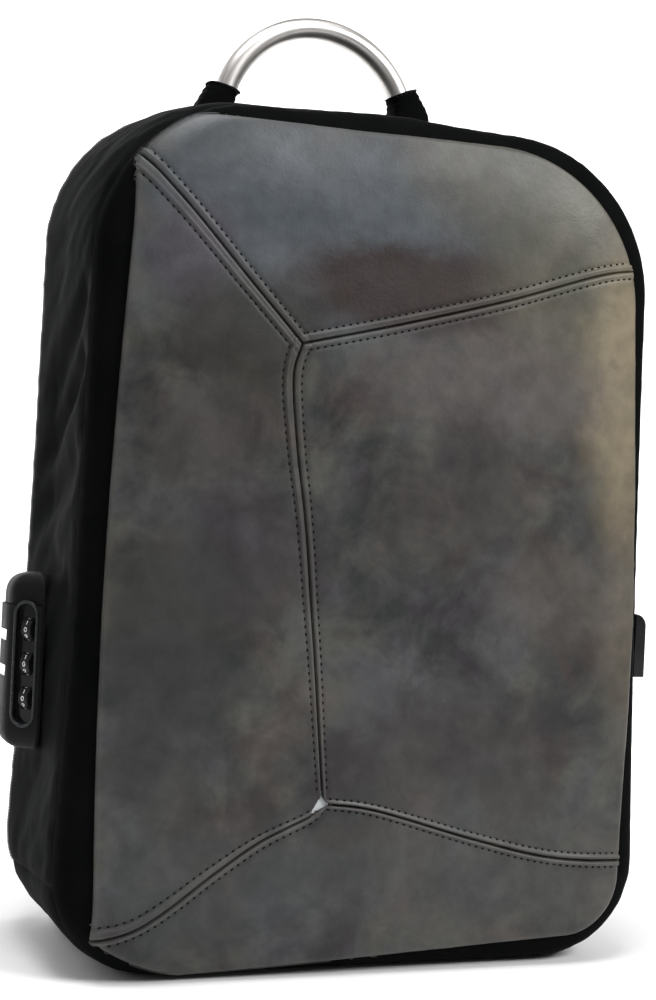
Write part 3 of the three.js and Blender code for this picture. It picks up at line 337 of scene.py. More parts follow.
def cloud(points, scale, octaves=3, seed=0.0):
    """Smooth noise between about -1 and 1 at points."""
    shift = Vector((seed, 1.7 * seed, -seed))
    return np.array([
        noise.fractal(Vector(p) * scale + shift, 1.0, 2.0, octaves) for p in np.asarray(points).reshape(-1, 3)
    ]).reshape(np.asarray(points).shape[:-1])


# Materials

def add_node(tree, kind, inputs=None, **settings):
    """A shader node. An input is another node's output or a plain value."""
    node = tree.nodes.new(kind)
    for key, value in settings.items():
        setattr(node, key, value)
    for key, value in (inputs or {}).items():
        if isinstance(value, bpy.types.NodeSocket):
            tree.links.new(value, node.inputs[key])
        else:
            node.inputs[key].default_value = value
    return node


def new_material(name, **values):
    material = bpy.data.materials.new(name)
    material.use_nodes = True
    tree = material.node_tree
    shader = tree.nodes["Principled BSDF"]
    for key, value in values.items():
        shader.inputs[key.replace("_", " ")].default_value = value
    place = add_node(tree, "ShaderNodeTexCoord").outputs["Object"]
    return material, tree, shader, place


def noise_node(tree, place, scale, detail=4.0, roughness=0.55, distortion=0.0):
    values = {"Vector": place, "Scale": scale, "Detail": detail, "Roughness": roughness, "Distortion": distortion}
    return add_node(tree, "ShaderNodeTexNoise", values).outputs["Fac"]


def ramp(tree, value, stops):
    """Colours or grey levels at places between 0 and 1."""
    node = add_node(tree, "ShaderNodeValToRGB", {"Fac": value})
    marks = node.color_ramp.elements
    while len(marks) < len(stops):
        marks.new(0.5)
    for mark, (place, colour) in zip(marks, stops):
        mark.position = place
        mark.color = (*colour, 1) if isinstance(colour, tuple) else (colour, colour, colour, 1)
    return node.outputs["Color"]


def blend(tree, share, a, b, kind="MIX"):
    node = add_node(tree, "ShaderNodeMix", data_type="RGBA", blend_type=kind)
    for index, value in ((0, share), (6, a), (7, b)):
        if isinstance(value, bpy.types.NodeSocket):
            tree.links.new(value, node.inputs[index])
        else:
            node.inputs[index].default_value = (*value, 1) if isinstance(value, tuple) else value
    return node.outputs[2]


def math_node(tree, operation, a, b=0.0):
    return add_node(tree, "ShaderNodeMath", {0: a, 1: b}, operation=operation).outputs[0]


def bump(tree, shader, layers):
    """Stacks bump layers, each a height, a strength and a distance, onto a shader."""
    normal = None
    for height, strength, distance in layers:
        values = {"Height": height, "Strength": strength, "Distance": distance}
        if normal is not None:
            values["Normal"] = normal
        normal = add_node(tree, "ShaderNodeBump", values).outputs["Normal"]
    tree.links.new(normal, shader.inputs["Normal"])


def spot(tree, place, middle, radius, edge):
    """A soft spot: 1 in its middle, 0 past its radius, with an edge broken up by noise."""
    moved = add_node(tree, "ShaderNodeVectorMath", {0: place, 1: middle}, operation="SUBTRACT").outputs[0]
    size = add_node(tree, "ShaderNodeVectorMath", {0: moved, 1: radius}, operation="DIVIDE").outputs[0]
    length = add_node(tree, "ShaderNodeVectorMath", {0: size}, operation="LENGTH").outputs["Value"]
    broken = math_node(tree, "ADD", length, math_node(tree, "MULTIPLY", edge, 0.9))
    values = {"Value": broken, "From Min": 1.35, "From Max": 0.55}
    node = add_node(tree, "ShaderNodeMapRange", values, interpolation_type="SMOOTHSTEP")
    return node.outputs["Result"]


def cloth_material(name, colour, light, pitch, sheen=0.35, roughness=0.78, depth=0.0004):
    """Woven cloth: two crossed sets of threads, uneven dye and a slight sheen."""
    material, tree, shader, place = new_material(
        name, Roughness=roughness, Sheen_Weight=sheen, Sheen_Roughness=0.4, Specular_IOR_Level=0.015, IOR=1.3
    )
    shader.inputs["Sheen Tint"].default_value = (0.75, 0.85, 0.8, 1)
    patches = noise_node(tree, place, 26, 5)
    colours = ramp(tree, patches, [(0.3, colour), (0.75, light)])
    tree.links.new(colours, shader.inputs["Base Color"])
    waves = []
    for direction in ("DIAGONAL", "Z"):
        values = {"Vector": place, "Scale": 1 / (pitch * 6.2), "Distortion": 0.6, "Detail": 1.0}
        waves.append(add_node(tree, "ShaderNodeTexWave", values, bands_direction=direction).outputs["Fac"])
    weave = math_node(tree, "MULTIPLY", waves[0], waves[1])
    fuzz = noise_node(tree, place, 900, 2)
    bump(tree, shader, [(weave, 0.35, depth / 3), (fuzz, 0.2, 0.0001), (patches, 0.2, 0.002)])
    return material


def leather_material():
    """Waxed pull-up leather: clouds of grey, brown and olive, paler where it is stretched over a fold and along its cut
    edge (rubbed wear with painted highlight), with a painted tan highlight on the right rolled edge and painted shade
    in the dark clouds on the left.
    """
    material, tree, shader, place = new_material(
        "mottled leather", Specular_IOR_Level=0.3, Coat_Weight=0.05, Coat_Roughness=0.38, IOR=1.45
    )
    wide = noise_node(tree, place, 11, 4, 0.6, 0.5)
    middle = noise_node(tree, place, 27, 6, 0.62, 0.4)
    fine = noise_node(tree, place, 85, 5, 0.6, 0.2)
    hue = noise_node(tree, place, 19, 3, 0.5, 0.8)
    dark = ramp(tree, hue, [(0.33, (0.022, 0.018, 0.021)), (0.5, (0.017, 0.020, 0.020)), (0.68, (0.027, 0.019, 0.018))])
    pale = ramp(tree, hue, [(0.33, (0.056, 0.057, 0.062)), (0.5, (0.060, 0.060, 0.052)), (0.68, (0.068, 0.056, 0.052))])
    clouds = math_node(tree, "ADD", math_node(tree, "MULTIPLY", wide, 0.4), math_node(tree, "MULTIPLY", middle, 0.6))
    colour = blend(tree, ramp(tree, clouds, [(0.41, 0.0), (0.57, 1.0)]), dark, pale)
    edge = math_node(tree, "SUBTRACT", middle, 0.5)
    # Blends in the clouds of mottling, painted highlight and painted shade
    for middle_place, radius, tint, share in LEATHER_MOTTLING_AND_PAINTED_LIGHT:
        strength = math_node(tree, "MULTIPLY", spot(tree, place, middle_place, radius, edge), share)
        colour = blend(tree, strength, colour, tint)
    speckle = ramp(tree, fine, [(0.35, 0.82), (0.65, 1.12)])
    colour = blend(tree, 1.0, colour, speckle, "MULTIPLY")
    # Paler along the strips' crests and the cut edge: rubbed wear together with painted highlight
    wear_and_highlight = add_node(tree, "ShaderNodeAttribute", attribute_name="wear_and_highlight").outputs["Fac"]
    rubbed_and_highlit = math_node(tree, "MULTIPLY", wear_and_highlight, ramp(tree, middle, [(0.3, 0.35), (0.7, 0.75)]))
    colour = blend(tree, rubbed_and_highlit, colour, (0.098, 0.093, 0.084))
    tree.links.new(colour, shader.inputs["Base Color"])
    gloss = ramp(tree, middle, [(0.3, 0.36), (0.7, 0.52)])
    tree.links.new(gloss, shader.inputs["Roughness"])
    cells = add_node(tree, "ShaderNodeTexVoronoi", {"Vector": place, "Scale": 900.0}, feature="SMOOTH_F1").outputs["Distance"]
    grain = noise_node(tree, place, 420, 4, 0.6)
    bump(tree, shader, [(cells, 0.16, 0.0003), (grain, 0.2, 0.0004), (fine, 0.1, 0.0012), (middle, 0.12, 0.003)])
    return material


# Soft clouds of colour on the leather: middle, radii, colour and strength. Most are mottling; the two tan ones on the
# right edge are a painted highlight, and the dark ones on the left are mottling with painted shade.
LEATHER_MOTTLING_AND_PAINTED_LIGHT = [
    ((-0.050, -0.09, 0.385), (0.100, 0.1, 0.060), (0.064, 0.076, 0.090), 0.7),
    ((-0.090, -0.09, 0.425), (0.060, 0.1, 0.025), (0.070, 0.078, 0.086), 0.5),
    ((0.008, -0.09, 0.360), (0.075, 0.1, 0.024), (0.022, 0.013, 0.012), 0.95),
    ((0.060, -0.09, 0.420), (0.060, 0.1, 0.030), (0.072, 0.072, 0.060), 0.6),
    ((0.120, -0.09, 0.370), (0.065, 0.1, 0.070), (0.110, 0.104, 0.078), 0.6),
    # Painted highlight: tan light on the right rolled edge, in two clouds
    ((0.147, -0.09, 0.315), (0.038, 0.1, 0.085), (0.225, 0.185, 0.120), 0.75),
    ((0.150, -0.09, 0.200), (0.026, 0.1, 0.080), (0.120, 0.098, 0.072), 0.5),
    ((0.060, -0.09, 0.310), (0.070, 0.1, 0.030), (0.080, 0.066, 0.066), 0.5),
    ((0.040, -0.09, 0.250), (0.050, 0.1, 0.040), (0.024, 0.020, 0.020), 0.55),
    ((0.100, -0.09, 0.200), (0.040, 0.1, 0.030), (0.074, 0.062, 0.054), 0.5),
    # Dark clouds on the left: darker mottling together with painted shade where the left turns away from the light
    ((-0.115, -0.09, 0.368), (0.025, 0.1, 0.030), (0.046, 0.038, 0.048), 0.7),
    ((-0.085, -0.09, 0.330), (0.045, 0.1, 0.035), (0.017, 0.015, 0.012), 0.8),
    ((-0.105, -0.09, 0.280), (0.035, 0.1, 0.030), (0.024, 0.020, 0.021), 0.6),
    ((-0.112, -0.09, 0.192), (0.050, 0.1, 0.036), (0.013, 0.016, 0.014), 0.8),
    ((-0.085, -0.09, 0.220), (0.050, 0.1, 0.040), (0.030, 0.024, 0.028), 0.5),
    ((-0.120, -0.09, 0.150), (0.030, 0.1, 0.100), (0.026, 0.027, 0.026), 0.6),
    ((0.040, -0.09, 0.120), (0.080, 0.1, 0.035), (0.030, 0.026, 0.026), 0.55),
    ((-0.090, -0.09, 0.050), (0.060, 0.1, 0.030), (0.036, 0.040, 0.041), 0.6),
    ((0.050, -0.09, 0.060), (0.100, 0.1, 0.040), (0.048, 0.050, 0.049), 0.5),
]


def plastic_material(name, colour, roughness, grain=0.05, gloss=0.3):
    material, tree, shader, place = new_material(name, Specular_IOR_Level=gloss, IOR=1.5)
    smudge = noise_node(tree, place, 60, 5)
    light = tuple(min(1.0, 1.35 * c) for c in colour)
    tree.links.new(ramp(tree, smudge, [(0.35, colour), (0.7, light)]), shader.inputs["Base Color"])
    levels = [(0.3, max(0.02, roughness - 0.06)), (0.7, roughness + 0.08)]
    tree.links.new(ramp(tree, smudge, levels), shader.inputs["Roughness"])
    pores = noise_node(tree, place, 1400, 2)
    bump(tree, shader, [(pores, grain, 0.0002)])
    return material


def metal_material(name, colour, roughness, brush):
    """Metal with fine scratches along one direction."""
    material, tree, shader, place = new_material(name, Metallic=1.0, Anisotropic=0.5)
    values = {"Vector": place, "Scale": brush}
    streaks = add_node(tree, "ShaderNodeMapping", values)
    scratches = noise_node(tree, streaks.outputs["Vector"], 60, 4)
    smudge = noise_node(tree, place, 30, 4)
    dull = tuple(0.85 * c for c in colour)
    tree.links.new(ramp(tree, smudge, [(0.3, dull), (0.7, colour)]), shader.inputs["Base Color"])
    levels = [(0.3, roughness - 0.05), (0.7, roughness + 0.08)]
    tree.links.new(ramp(tree, scratches, levels), shader.inputs["Roughness"])
    bump(tree, shader, [(scratches, 0.12, 0.0002)])
    return material


NYLON = cloth_material("black nylon", (0.0022, 0.0025, 0.0024), (0.0042, 0.0046, 0.0043), 0.0007, 0.008, 0.6)
MESH_CLOTH = cloth_material("spacer mesh", (0.006, 0.0063, 0.0066), (0.012, 0.0125, 0.013), 0.0026, 0.08, 0.85, 0.0012)
WEBBING = cloth_material("black webbing", (0.006, 0.006, 0.0063), (0.012, 0.012, 0.0125), 0.0012, 0.08, 0.7, 0.0006)
TAPE = cloth_material("zip tape", (0.005, 0.005, 0.0053), (0.009, 0.009, 0.0095), 0.0005, 0.06, 0.8)
PATCH = cloth_material("pale patch", (0.42, 0.45, 0.46), (0.58, 0.60, 0.60), 0.0006, 0.1, 0.8)
LEATHER_LOOK = leather_material()
THREAD = cloth_material("black thread", (0.006, 0.006, 0.007), (0.016, 0.016, 0.017), 0.0003, 0.1, 0.6)
ALUMINIUM = metal_material("satin aluminium", (0.66, 0.635, 0.615), 0.40, (1, 30, 1))
GUNMETAL = metal_material("gunmetal", (0.16, 0.16, 0.165), 0.32, (1, 1, 8))
PLASTIC = plastic_material("black plastic", (0.007, 0.0073, 0.0073), 0.45)
CASE = plastic_material("satin black plastic", (0.0055, 0.006, 0.0056), 0.5, gloss=0.09)
GLOSS = plastic_material("glossy black plastic", (0.007, 0.007, 0.008), 0.16, 0.02)
BEZEL = plastic_material("bezel", (0.016, 0.018, 0.020), 0.25, 0.02)
INK = plastic_material("white ink", (0.75, 0.76, 0.76), 0.5, 0.02)

# Black body
NOISE_FINE = 95
NOISE_WIDE = 34


def fold_sink(points):
    """How far the folds of the left side pull the cloth in."""
    sink = np.zeros(points.shape[:-1])
    for fold in FOLDS:
        tilt = math.radians(fold["tilt"])
        y = points[..., 1] - (FRONT + BODY_DEPTH * fold["depth"])
        z = points[..., 2] - BODY_HEIGHT * fold["height"]
        along = y * math.cos(tilt) - z * math.sin(tilt)
        over = y * math.sin(tilt) + z * math.cos(tilt)
        reach = BODY_DEPTH * fold["reach"]
        breadth = FOLD_BREADTH * fold["breadth"]
        sink += FOLD_SINK * fold["sink"] * np.exp(-((over / breadth) ** 2) - (along / reach) ** 4)
    return np.where(points[..., 0] > 0, 0, sink)


def dressed_skin(rows, wrinkle=0.0010, pucker=0.0006):
    """Whole loops of the skin with folds, wrinkles and the seams' puckers."""
    points = skin(rows)
    normals = grid_normals(points)
    rows = np.asarray(rows)[:, None]
    seam, zip_row = row_of("front_seam"), row_of("zip_front")
    fade = np.clip(np.minimum((rows - seam) / 2, (zip_row - rows) / 1.5), 0, 1)
    lift = -fold_sink(points) * fade
    slanted = np.stack([
        points[..., 0] * 0.6,
        0.5 * (points[..., 1] - points[..., 2]),
        1.5 * (points[..., 2] + 0.75 * points[..., 1]),
    ], -1)
    lift += wrinkle * cloud(slanted, NOISE_WIDE, 2, 3.1) * np.clip(fade * 1.5, 0, 1)
    lift += 0.2 * wrinkle * cloud(points, NOISE_FINE, 2, 8.4) * np.clip(fade * 2, 0, 1)
    depth = points[..., 1]
    for seam_depth, reach in ((SECTIONS[0]["depth"], 0.009), (0.7, 0.006), (0.75, 0.006), (0.968, 0.008)):
        near = np.exp(-(((depth - (FRONT + BODY_DEPTH * seam_depth)) / reach) ** 2))
        gathers = cloud(points * np.array([1.0, 0.15, 1.0]), 150, 1, 5 * seam_depth)
        lift += pucker * near * gathers
    over_seam = (points[..., 2] - base_seam(depth)) / 0.004
    at_corner = points[..., 2] < BASE_RADIUS
    lift -= np.where(at_corner & (rows > seam), 0.0012 * np.exp(-(over_seam**2)), 0)
    return points + normals * lift[..., None]


def surface_area(points, faces):
    """Area of a mesh of triangles or four-sided faces."""
    corners = np.asarray(points)[np.asarray(faces)]
    total = 0
    for i in range(2, corners.shape[1]):
        crossed = np.cross(corners[:, i - 1] - corners[:, 0], corners[:, i] - corners[:, 0])
        total += 0.5 * np.linalg.norm(crossed, axis=1).sum()
    return total


def skin_piece(name, start, end, step, columns, thickness, material, node):
    """A wall of cloth between two rows and two columns of the skin."""
    rows = rows_between(start, end, step)
    first, last = columns
    closed = last - first >= LOOP_COUNT
    picked = np.arange(first, last if closed else last + 1) % LOOP_COUNT
    points = dressed_skin(rows)[:, picked]
    faces = grid_faces(len(rows), len(picked), closed)
    piece = add_mesh(name, points.reshape(-1, 3), faces, material, [node])
    solidify(piece, thickness)
    if closed:
        width, _, length = np.ptp(points.reshape(-1, 3), axis=0)
    else:
        width = np.linalg.norm(np.diff(points, axis=1), axis=2).sum(1).max()
        length = np.linalg.norm(np.diff(points, axis=0), axis=2).sum(0).max()
    SHEETS[name] = (piece, width, length, surface_area(points.reshape(-1, 3), faces))
    return piece


# Each sheet of cloth or leather with its flat width and length and its area
SHEETS = {}
SEAM_EDGE = 0.02
SIDE_COLUMNS = (0, SIDE_LAST)
BASE_COLUMNS = (SIDE_LAST, LOOP_COUNT)
WHOLE_LOOP = (0, LOOP_COUNT)
skin_piece(
    "side_cloth", row_of("front_seam") + SEAM_EDGE, row_of("zip_front") - SEAM_EDGE, 0.11,
    SIDE_COLUMNS, CLOTH, NYLON, "side_band",
)
skin_piece(
    "back_cloth", row_of("zip_back") + SEAM_EDGE, row_of("back_seam") - SEAM_EDGE, 0.12,
    SIDE_COLUMNS, CLOTH, NYLON, "back_band",
)
skin_piece(
    "base_cloth", row_of("front_seam") + SEAM_EDGE, row_of("back_seam") - SEAM_EDGE, 0.2,
    BASE_COLUMNS, CLOTH, NYLON, "base_panel",
)
skin_piece(
    "front_cloth", 0, row_of("front_seam") - SEAM_EDGE, 0.12,
    WHOLE_LOOP, CLOTH, NYLON, "front_panel",
)
skin_piece(
    "back_pad", row_of("back_seam") + SEAM_EDGE, LAST_ROW, 0.1,
    WHOLE_LOOP, CLOTH, MESH_CLOTH, "back_panel",
)

# Leather front
LEATHER = 0.0026
LEATHER_WIDTH = 0.297
LEATHER_HEIGHT = 0.437
LEATHER_LOW = 0.004
LEATHER_LEFT = -0.1485
LEATHER_TOP_RADIUS = 0.085
LEATHER_BASE_RADIUS = 0.032
SHEET = 0.0010
SEAM_HALF = 0.0003
PATCH_SIZE = 0.017

# Seams, as shares of the leather's width and height
SEAMS = {
    "upper_left": [(-0.03, 0.983), (0.313, 0.741)],
    "upper_right": [(0.313, 0.741), (0.5, 0.773), (0.7, 0.811), (0.9, 0.855), (1.03, 0.867)],
    "upright": [(0.313, 0.741), (0.299, 0.7), (0.312, 0.616), (0.339, 0.499), (0.388, 0.2)],
    "lower_left": [(0.388, 0.2), (0.366, 0.185), (0.277, 0.156), (0.195, 0.12), (0.064, 0.058), (-0.03, 0.044)],
    "lower_right": [(0.388, 0.2), (0.49, 0.19), (0.68, 0.153), (0.84, 0.128), (1.03, 0.119)],
}

# Width of the folded strip along each seam, on each panel, at the seam's start and at its end
STRIPS = {
    "top": {"upper_left": (0.0034, 0.0030), "upper_right": (0.0036, 0.0030)},
    "left": {"upper_left": (0.0062, 0.0042), "upright": (0.0046, 0.0010), "lower_left": (0.0008, 0.0052)},
    "right": {"upper_right": (0.0026, 0.0026), "upright": (0.0034, 0.0016), "lower_right": (0.0014, 0.0026)},
    "bottom": {"lower_left": (0.0024, 0.0022), "lower_right": (0.0014, 0.0024)},
}
OUTLINE = {
    "lean": 0.029,
    "tip_across": 0.02,
    "tip_up": 0.966,
    "top_start": 0.09,
    "widest": 0.45,
    "base_rise": 0.028,
    "base_start": 0.15,
    "nub_across": -0.006,
    "nub_up": 0.046,
    "bow": 0.03,
}


def leather_at(across, up):
    return np.array([LEATHER_LEFT + LEATHER_WIDTH * across, LEATHER_LOW + LEATHER_HEIGHT * up])


def bezier(a, b, c, count):
    t = np.linspace(0, 1, count, endpoint=False)[:, None]
    return (1 - t) ** 2 * a + 2 * t * (1 - t) * b + t**2 * c


def turn_points(x, z, radius, start, end, count):
    angles = np.linspace(start, end, count, endpoint=False)
    return np.stack([x + radius * np.cos(angles), z + radius * np.sin(angles)], -1)


def leather_outline():
    """The leather's outline: a bowed cut on the left between two tips, and round corners on the right."""
    o = OUTLINE
    right, high = leather_at(1, 1)
    lean = LEATHER_WIDTH * o["lean"]
    base_high = leather_at(0, o["base_rise"])[1] + LEATHER_BASE_RADIUS
    tip = leather_at(o["tip_across"], o["tip_up"])
    nub = leather_at(o["nub_across"], o["nub_up"])
    start = leather_at(o["top_start"], 0.998)
    top_x, top_z = right - lean - LEATHER_TOP_RADIUS, high - LEATHER_TOP_RADIUS
    low_x = right - lean / 2 - LEATHER_BASE_RADIUS
    widest = np.array([right, leather_at(0, o["widest"])[1]])
    low = leather_at(o["base_start"], 0)
    straight = lambda a, b, count: a + (b - a) * np.linspace(0, 1, count, endpoint=False)[:, None]
    top_end = np.array([top_x, high])
    side_start = np.array([top_x + LEATHER_TOP_RADIUS, top_z])
    side_end = np.array([low_x + LEATHER_BASE_RADIUS, base_high])
    base_begin = np.array([low_x, base_high - LEATHER_BASE_RADIUS])
    return np.concatenate([
        bezier(tip, leather_at(o["tip_across"] + 0.01, 0.99), start, 30),
        straight(start, top_end, 100),
        turn_points(top_x, top_z, LEATHER_TOP_RADIUS, math.pi / 2, 0, 100),
        straight(side_start, widest, 90),
        straight(widest, side_end, 90),
        turn_points(low_x, base_high, LEATHER_BASE_RADIUS, 0, -math.pi / 2, 40),
        straight(base_begin, low, 160),
        bezier(low, leather_at(o["base_start"] / 3, o["base_rise"] / 2), nub, 40),
        bezier(nub, leather_at(-o["bow"], 0.45), tip, 260),
    ])


def spline(points, step):
    """Evenly spaced points on a smooth curve through a few points."""
    points = np.array(points)
    ends = np.concatenate([[2 * points[0] - points[1]], points, [2 * points[-1] - points[-2]]])
    dense = []
    for i in range(len(points) - 1):
        a, b, c, d = ends[i : i + 4]
        t = np.linspace(0, 1, 40, endpoint=False)[:, None]
        curve = 2 * b + (c - a) * t + (2 * a - 5 * b + 4 * c - d) * t**2 + (3 * b - a - 3 * c + d) * t**3
        dense.append(curve / 2)
    dense = np.concatenate([*dense, [points[-1]]])
    runs = np.concatenate([[0], np.cumsum(np.linalg.norm(np.diff(dense, axis=0), axis=1))])
    marks = np.linspace(0, runs[-1], max(2, round(runs[-1] / step) + 1))
    return np.stack([np.interp(marks, runs, dense[:, axis]) for axis in range(dense.shape[1])], -1)


SEAM_STEP = 0.0008
SEAM_CURVES = {name: spline([leather_at(*p) for p in route], SEAM_STEP) for name, route in SEAMS.items()}


def distance_to(points, curve):
    """Distance from each point to a curve of close points, and the nearest one's index."""
    best = np.full(len(points), np.inf)
    index = np.zeros(len(points), int)
    for start in range(0, len(points), 4000):
        part = points[start : start + 4000]
        gaps = ((part[:, None] - curve[None]) ** 2).sum(-1)
        index[start : start + 4000] = gaps.argmin(1)
        best[start : start + 4000] = np.sqrt(gaps.min(1))
    return best, index


def inside(points, polygon):
    """Whether each point lies inside a closed polygon."""
    x, z = points[:, 0], points[:, 1]
    result = np.zeros(len(points), bool)
    for (x0, z0), (x1, z1) in zip(polygon, np.roll(polygon, -1, axis=0)):
        if z0 == z1:
            continue
        crossing = (z0 > z) != (z1 > z)
        result ^= crossing & (x < (x1 - x0) * (z - z0) / (z1 - z0) + x0)
    return result


def offset_curve(curve, distance):
    """A curve moved to its left by a distance, or by one for each of its points."""
    along = np.gradient(curve, axis=0)
    side = np.stack([-along[:, 1], along[:, 0]], -1)
    return curve + np.reshape(distance, (-1, 1)) * side / np.linalg.norm(side, axis=1, keepdims=True)


# The black band between the leather and the front seam at the upper left corner
CORNER_BAND = 0.0030


def kept_off_seam(outline):
    """The outline with its upper left corner drawn in from the body's front seam."""
    seam = LOOPS[row_of("front_seam")][:, (0, 2)]
    limit = seam + CORNER_BAND * unit_rows(seam.mean(0) - seam)
    near = (outline[:, 0] < 0) & (outline[:, 1] > BODY_HEIGHT / 2)
    moved = near & ~inside(outline, limit)
    index = distance_to(outline[moved], limit)[1]
    outline = outline.copy()
    outline[moved] = limit[index]
    for _ in range(8):
        smooth = (np.roll(outline, 1, axis=0) + outline + np.roll(outline, -1, axis=0)) / 3
        outline[near] = smooth[near]
    return outline


def unit_rows(vectors):
    return vectors / np.linalg.norm(vectors, axis=1, keepdims=True)


LEATHER_OUTLINE = kept_off_seam(leather_outline())

FAR = 1.3 * BODY_HEIGHT
PANEL_EDGES = {
    "top": [
        SEAM_CURVES["upper_left"][::-1],
        [(-FAR, leather_at(0, 1)[1]), (-FAR, FAR), (FAR, FAR)],
        SEAM_CURVES["upper_right"][::-1],
    ],
    "left": [
        SEAM_CURVES["upper_left"],
        SEAM_CURVES["upright"],
        SEAM_CURVES["lower_left"],
        [(-FAR, LEATHER_LOW), (-FAR, leather_at(0, 1)[1])],
    ],
    "right": [
        SEAM_CURVES["upper_right"][::-1],
        SEAM_CURVES["upright"],
        SEAM_CURVES["lower_right"],
    ],
    "bottom": [
        SEAM_CURVES["lower_left"][::-1],
        SEAM_CURVES["lower_right"],
        [(FAR, -FAR), (-FAR, -FAR), (-FAR, LEATHER_LOW)],
    ],
}


def front_surface():
    """The body's front as a tree that rays from the front can hit."""
    rows = rows_between(0, row_of("front_seam") + 2, 0.1)
    points = skin(rows).reshape(-1, 3)
    faces = grid_faces(len(rows), LOOP_COUNT, True)
    return BVHTree.FromPolygons([tuple(p) for p in points], [tuple(map(int, f)) for f in faces])


FRONT_TREE = front_surface()


def front_depth(points):
    """Depth of the body's front and its outward normal at places in X and Z."""
    depths = np.zeros(len(points))
    normals = np.zeros((len(points), 3))
    toward = Vector((0, 1, 0))
    for i, (x, z) in enumerate(points):
        hit, normal, _, _ = FRONT_TREE.ray_cast(Vector((x, -1, z)), toward)
        if hit is None:
            near, normal, _, _ = FRONT_TREE.find_nearest(Vector((x, FRONT, z)))
            hit = near
        depths[i] = hit.y
        normals[i] = normal if normal.y < 0 else -normal
    return depths, normals


SEAM_LAYERS = (0.0003, 0.0006, 0.0010, 0.0016, 0.0024, 0.0031, 0.0037, 0.0043, 0.0050, 0.0058, 0.0066, 0.0075, 0.0086)
EDGE_LAYERS = (0.0005, 0.0011, 0.0018, 0.0028, 0.0042)
RIM_LAYERS = (0.0003, 0.0007, 0.0012)
RIM_CLEAR = 0.0003 # between the opening's rim and the rows along the seams
STEP_COARSE = 0.004 # past this distance the rows along a seam hold half as many points
GRID_STEP = 0.0032


def patch_corners(size):
    """Corners of the opening where the lower seams part, each on one seam."""
    centre = leather_at(*SEAMS["upright"][-1])
    corners = []
    for seam, reach in (("upright", 0.29), ("lower_left", 0.58), ("lower_right", 0.30)):
        curve = SEAM_CURVES[seam]
        away = np.linalg.norm(curve - centre, axis=1)
        corners.append(curve[np.argmin(np.abs(away - size * reach))])
    return np.array(corners)


def patch_rim(size, step):
    """Close points round the opening, whose sides bow inwards."""
    corners = patch_corners(size)
    middle = corners.mean(0)
    sides = []
    for a, b in zip(corners, np.roll(corners, -1, axis=0)):
        count = max(2, round(np.linalg.norm(b - a) / step))
        sides.append(bezier(a, mix((a + b) / 2, middle, 0.5), b, count))
    return np.concatenate(sides)


PATCH_RIM = patch_rim(PATCH_SIZE, 0.0003)


def leather_mesh():
    """Triangles over the whole leather, with rows of points that follow its seams and its outline."""
    rim_gap = lambda points: distance_to(points, PATCH_RIM)[0]
    points, edges = [], []

    def add_line(line, closed=False):
        first = sum(len(part) for part in points)
        points.append(line)
        edges.extend((first + i, first + i + 1) for i in range(len(line) - 1))
        if closed:
            edges.append((first + len(line) - 1, first))

    add_line(LEATHER_OUTLINE, True)
    add_line(PATCH_RIM, True)
    outward = unit_rows(PATCH_RIM - PATCH_RIM.mean(0))
    for layer in RIM_LAYERS:
        points.append(PATCH_RIM + layer * outward)
    for layer in EDGE_LAYERS:
        line = offset_curve(LEATHER_OUTLINE, -layer)
        points.append(line[distance_to(line, LEATHER_OUTLINE)[0] > 0.8 * layer])
    for curve in SEAM_CURVES.values():
        for layer in SEAM_LAYERS:
            for side in (-1, 1):
                line = offset_curve(curve, side * layer)
                if layer == SEAM_LAYERS[0]:
                    add_line(line[rim_gap(line) > RIM_CLEAR])
                else:
                    line = line if layer < STEP_COARSE else line[::2]
                    points.append(line[rim_gap(line) > RIM_CLEAR])
    low, high = LEATHER_OUTLINE.min(0), LEATHER_OUTLINE.max(0)
    xs = np.arange(low[0], high[0], GRID_STEP)
    zs = np.arange(low[1], high[1], GRID_STEP * math.cos(math.pi / 6))
    grid = np.array([(x + (GRID_STEP / 2) * (j % 2), z) for j, z in enumerate(zs) for x in xs])
    seams = np.concatenate(list(SEAM_CURVES.values()))
    clear = distance_to(grid, seams)[0] > SEAM_LAYERS[-1] + GRID_STEP / 2
    clear &= distance_to(grid, LEATHER_OUTLINE)[0] > EDGE_LAYERS[-1] + GRID_STEP / 3
    clear &= inside(grid, LEATHER_OUTLINE)
    points.append(grid[clear])
    made = plane_geometry.delaunay_2d_cdt([Vector(p) for p in np.concatenate(points)], edges, [], 0, 1e-7)
    return np.array([tuple(v) for v in made[0]]), np.array([tuple(f) for f in made[2]])


STRIP_RISE = 0.0009
STITCH_OUT = 0.0011
STITCH_DIP = 0.0003


def strip_width(widths, index, seam):
    """Width of a strip beside the nearest points of its seam."""
    return mix(*widths, index / (len(SEAM_CURVES[seam]) - 1))


def hump(value, middle, breadth):
    return np.exp(-(((value - middle) / breadth) ** 2))


def turned_edge(gap, reach, depth):
    """How far a folded edge drops over its last stretch."""
    past = np.clip(1 - gap / reach, 0, 0.999)
    return -depth * (1 - np.sqrt(1 - past**2))


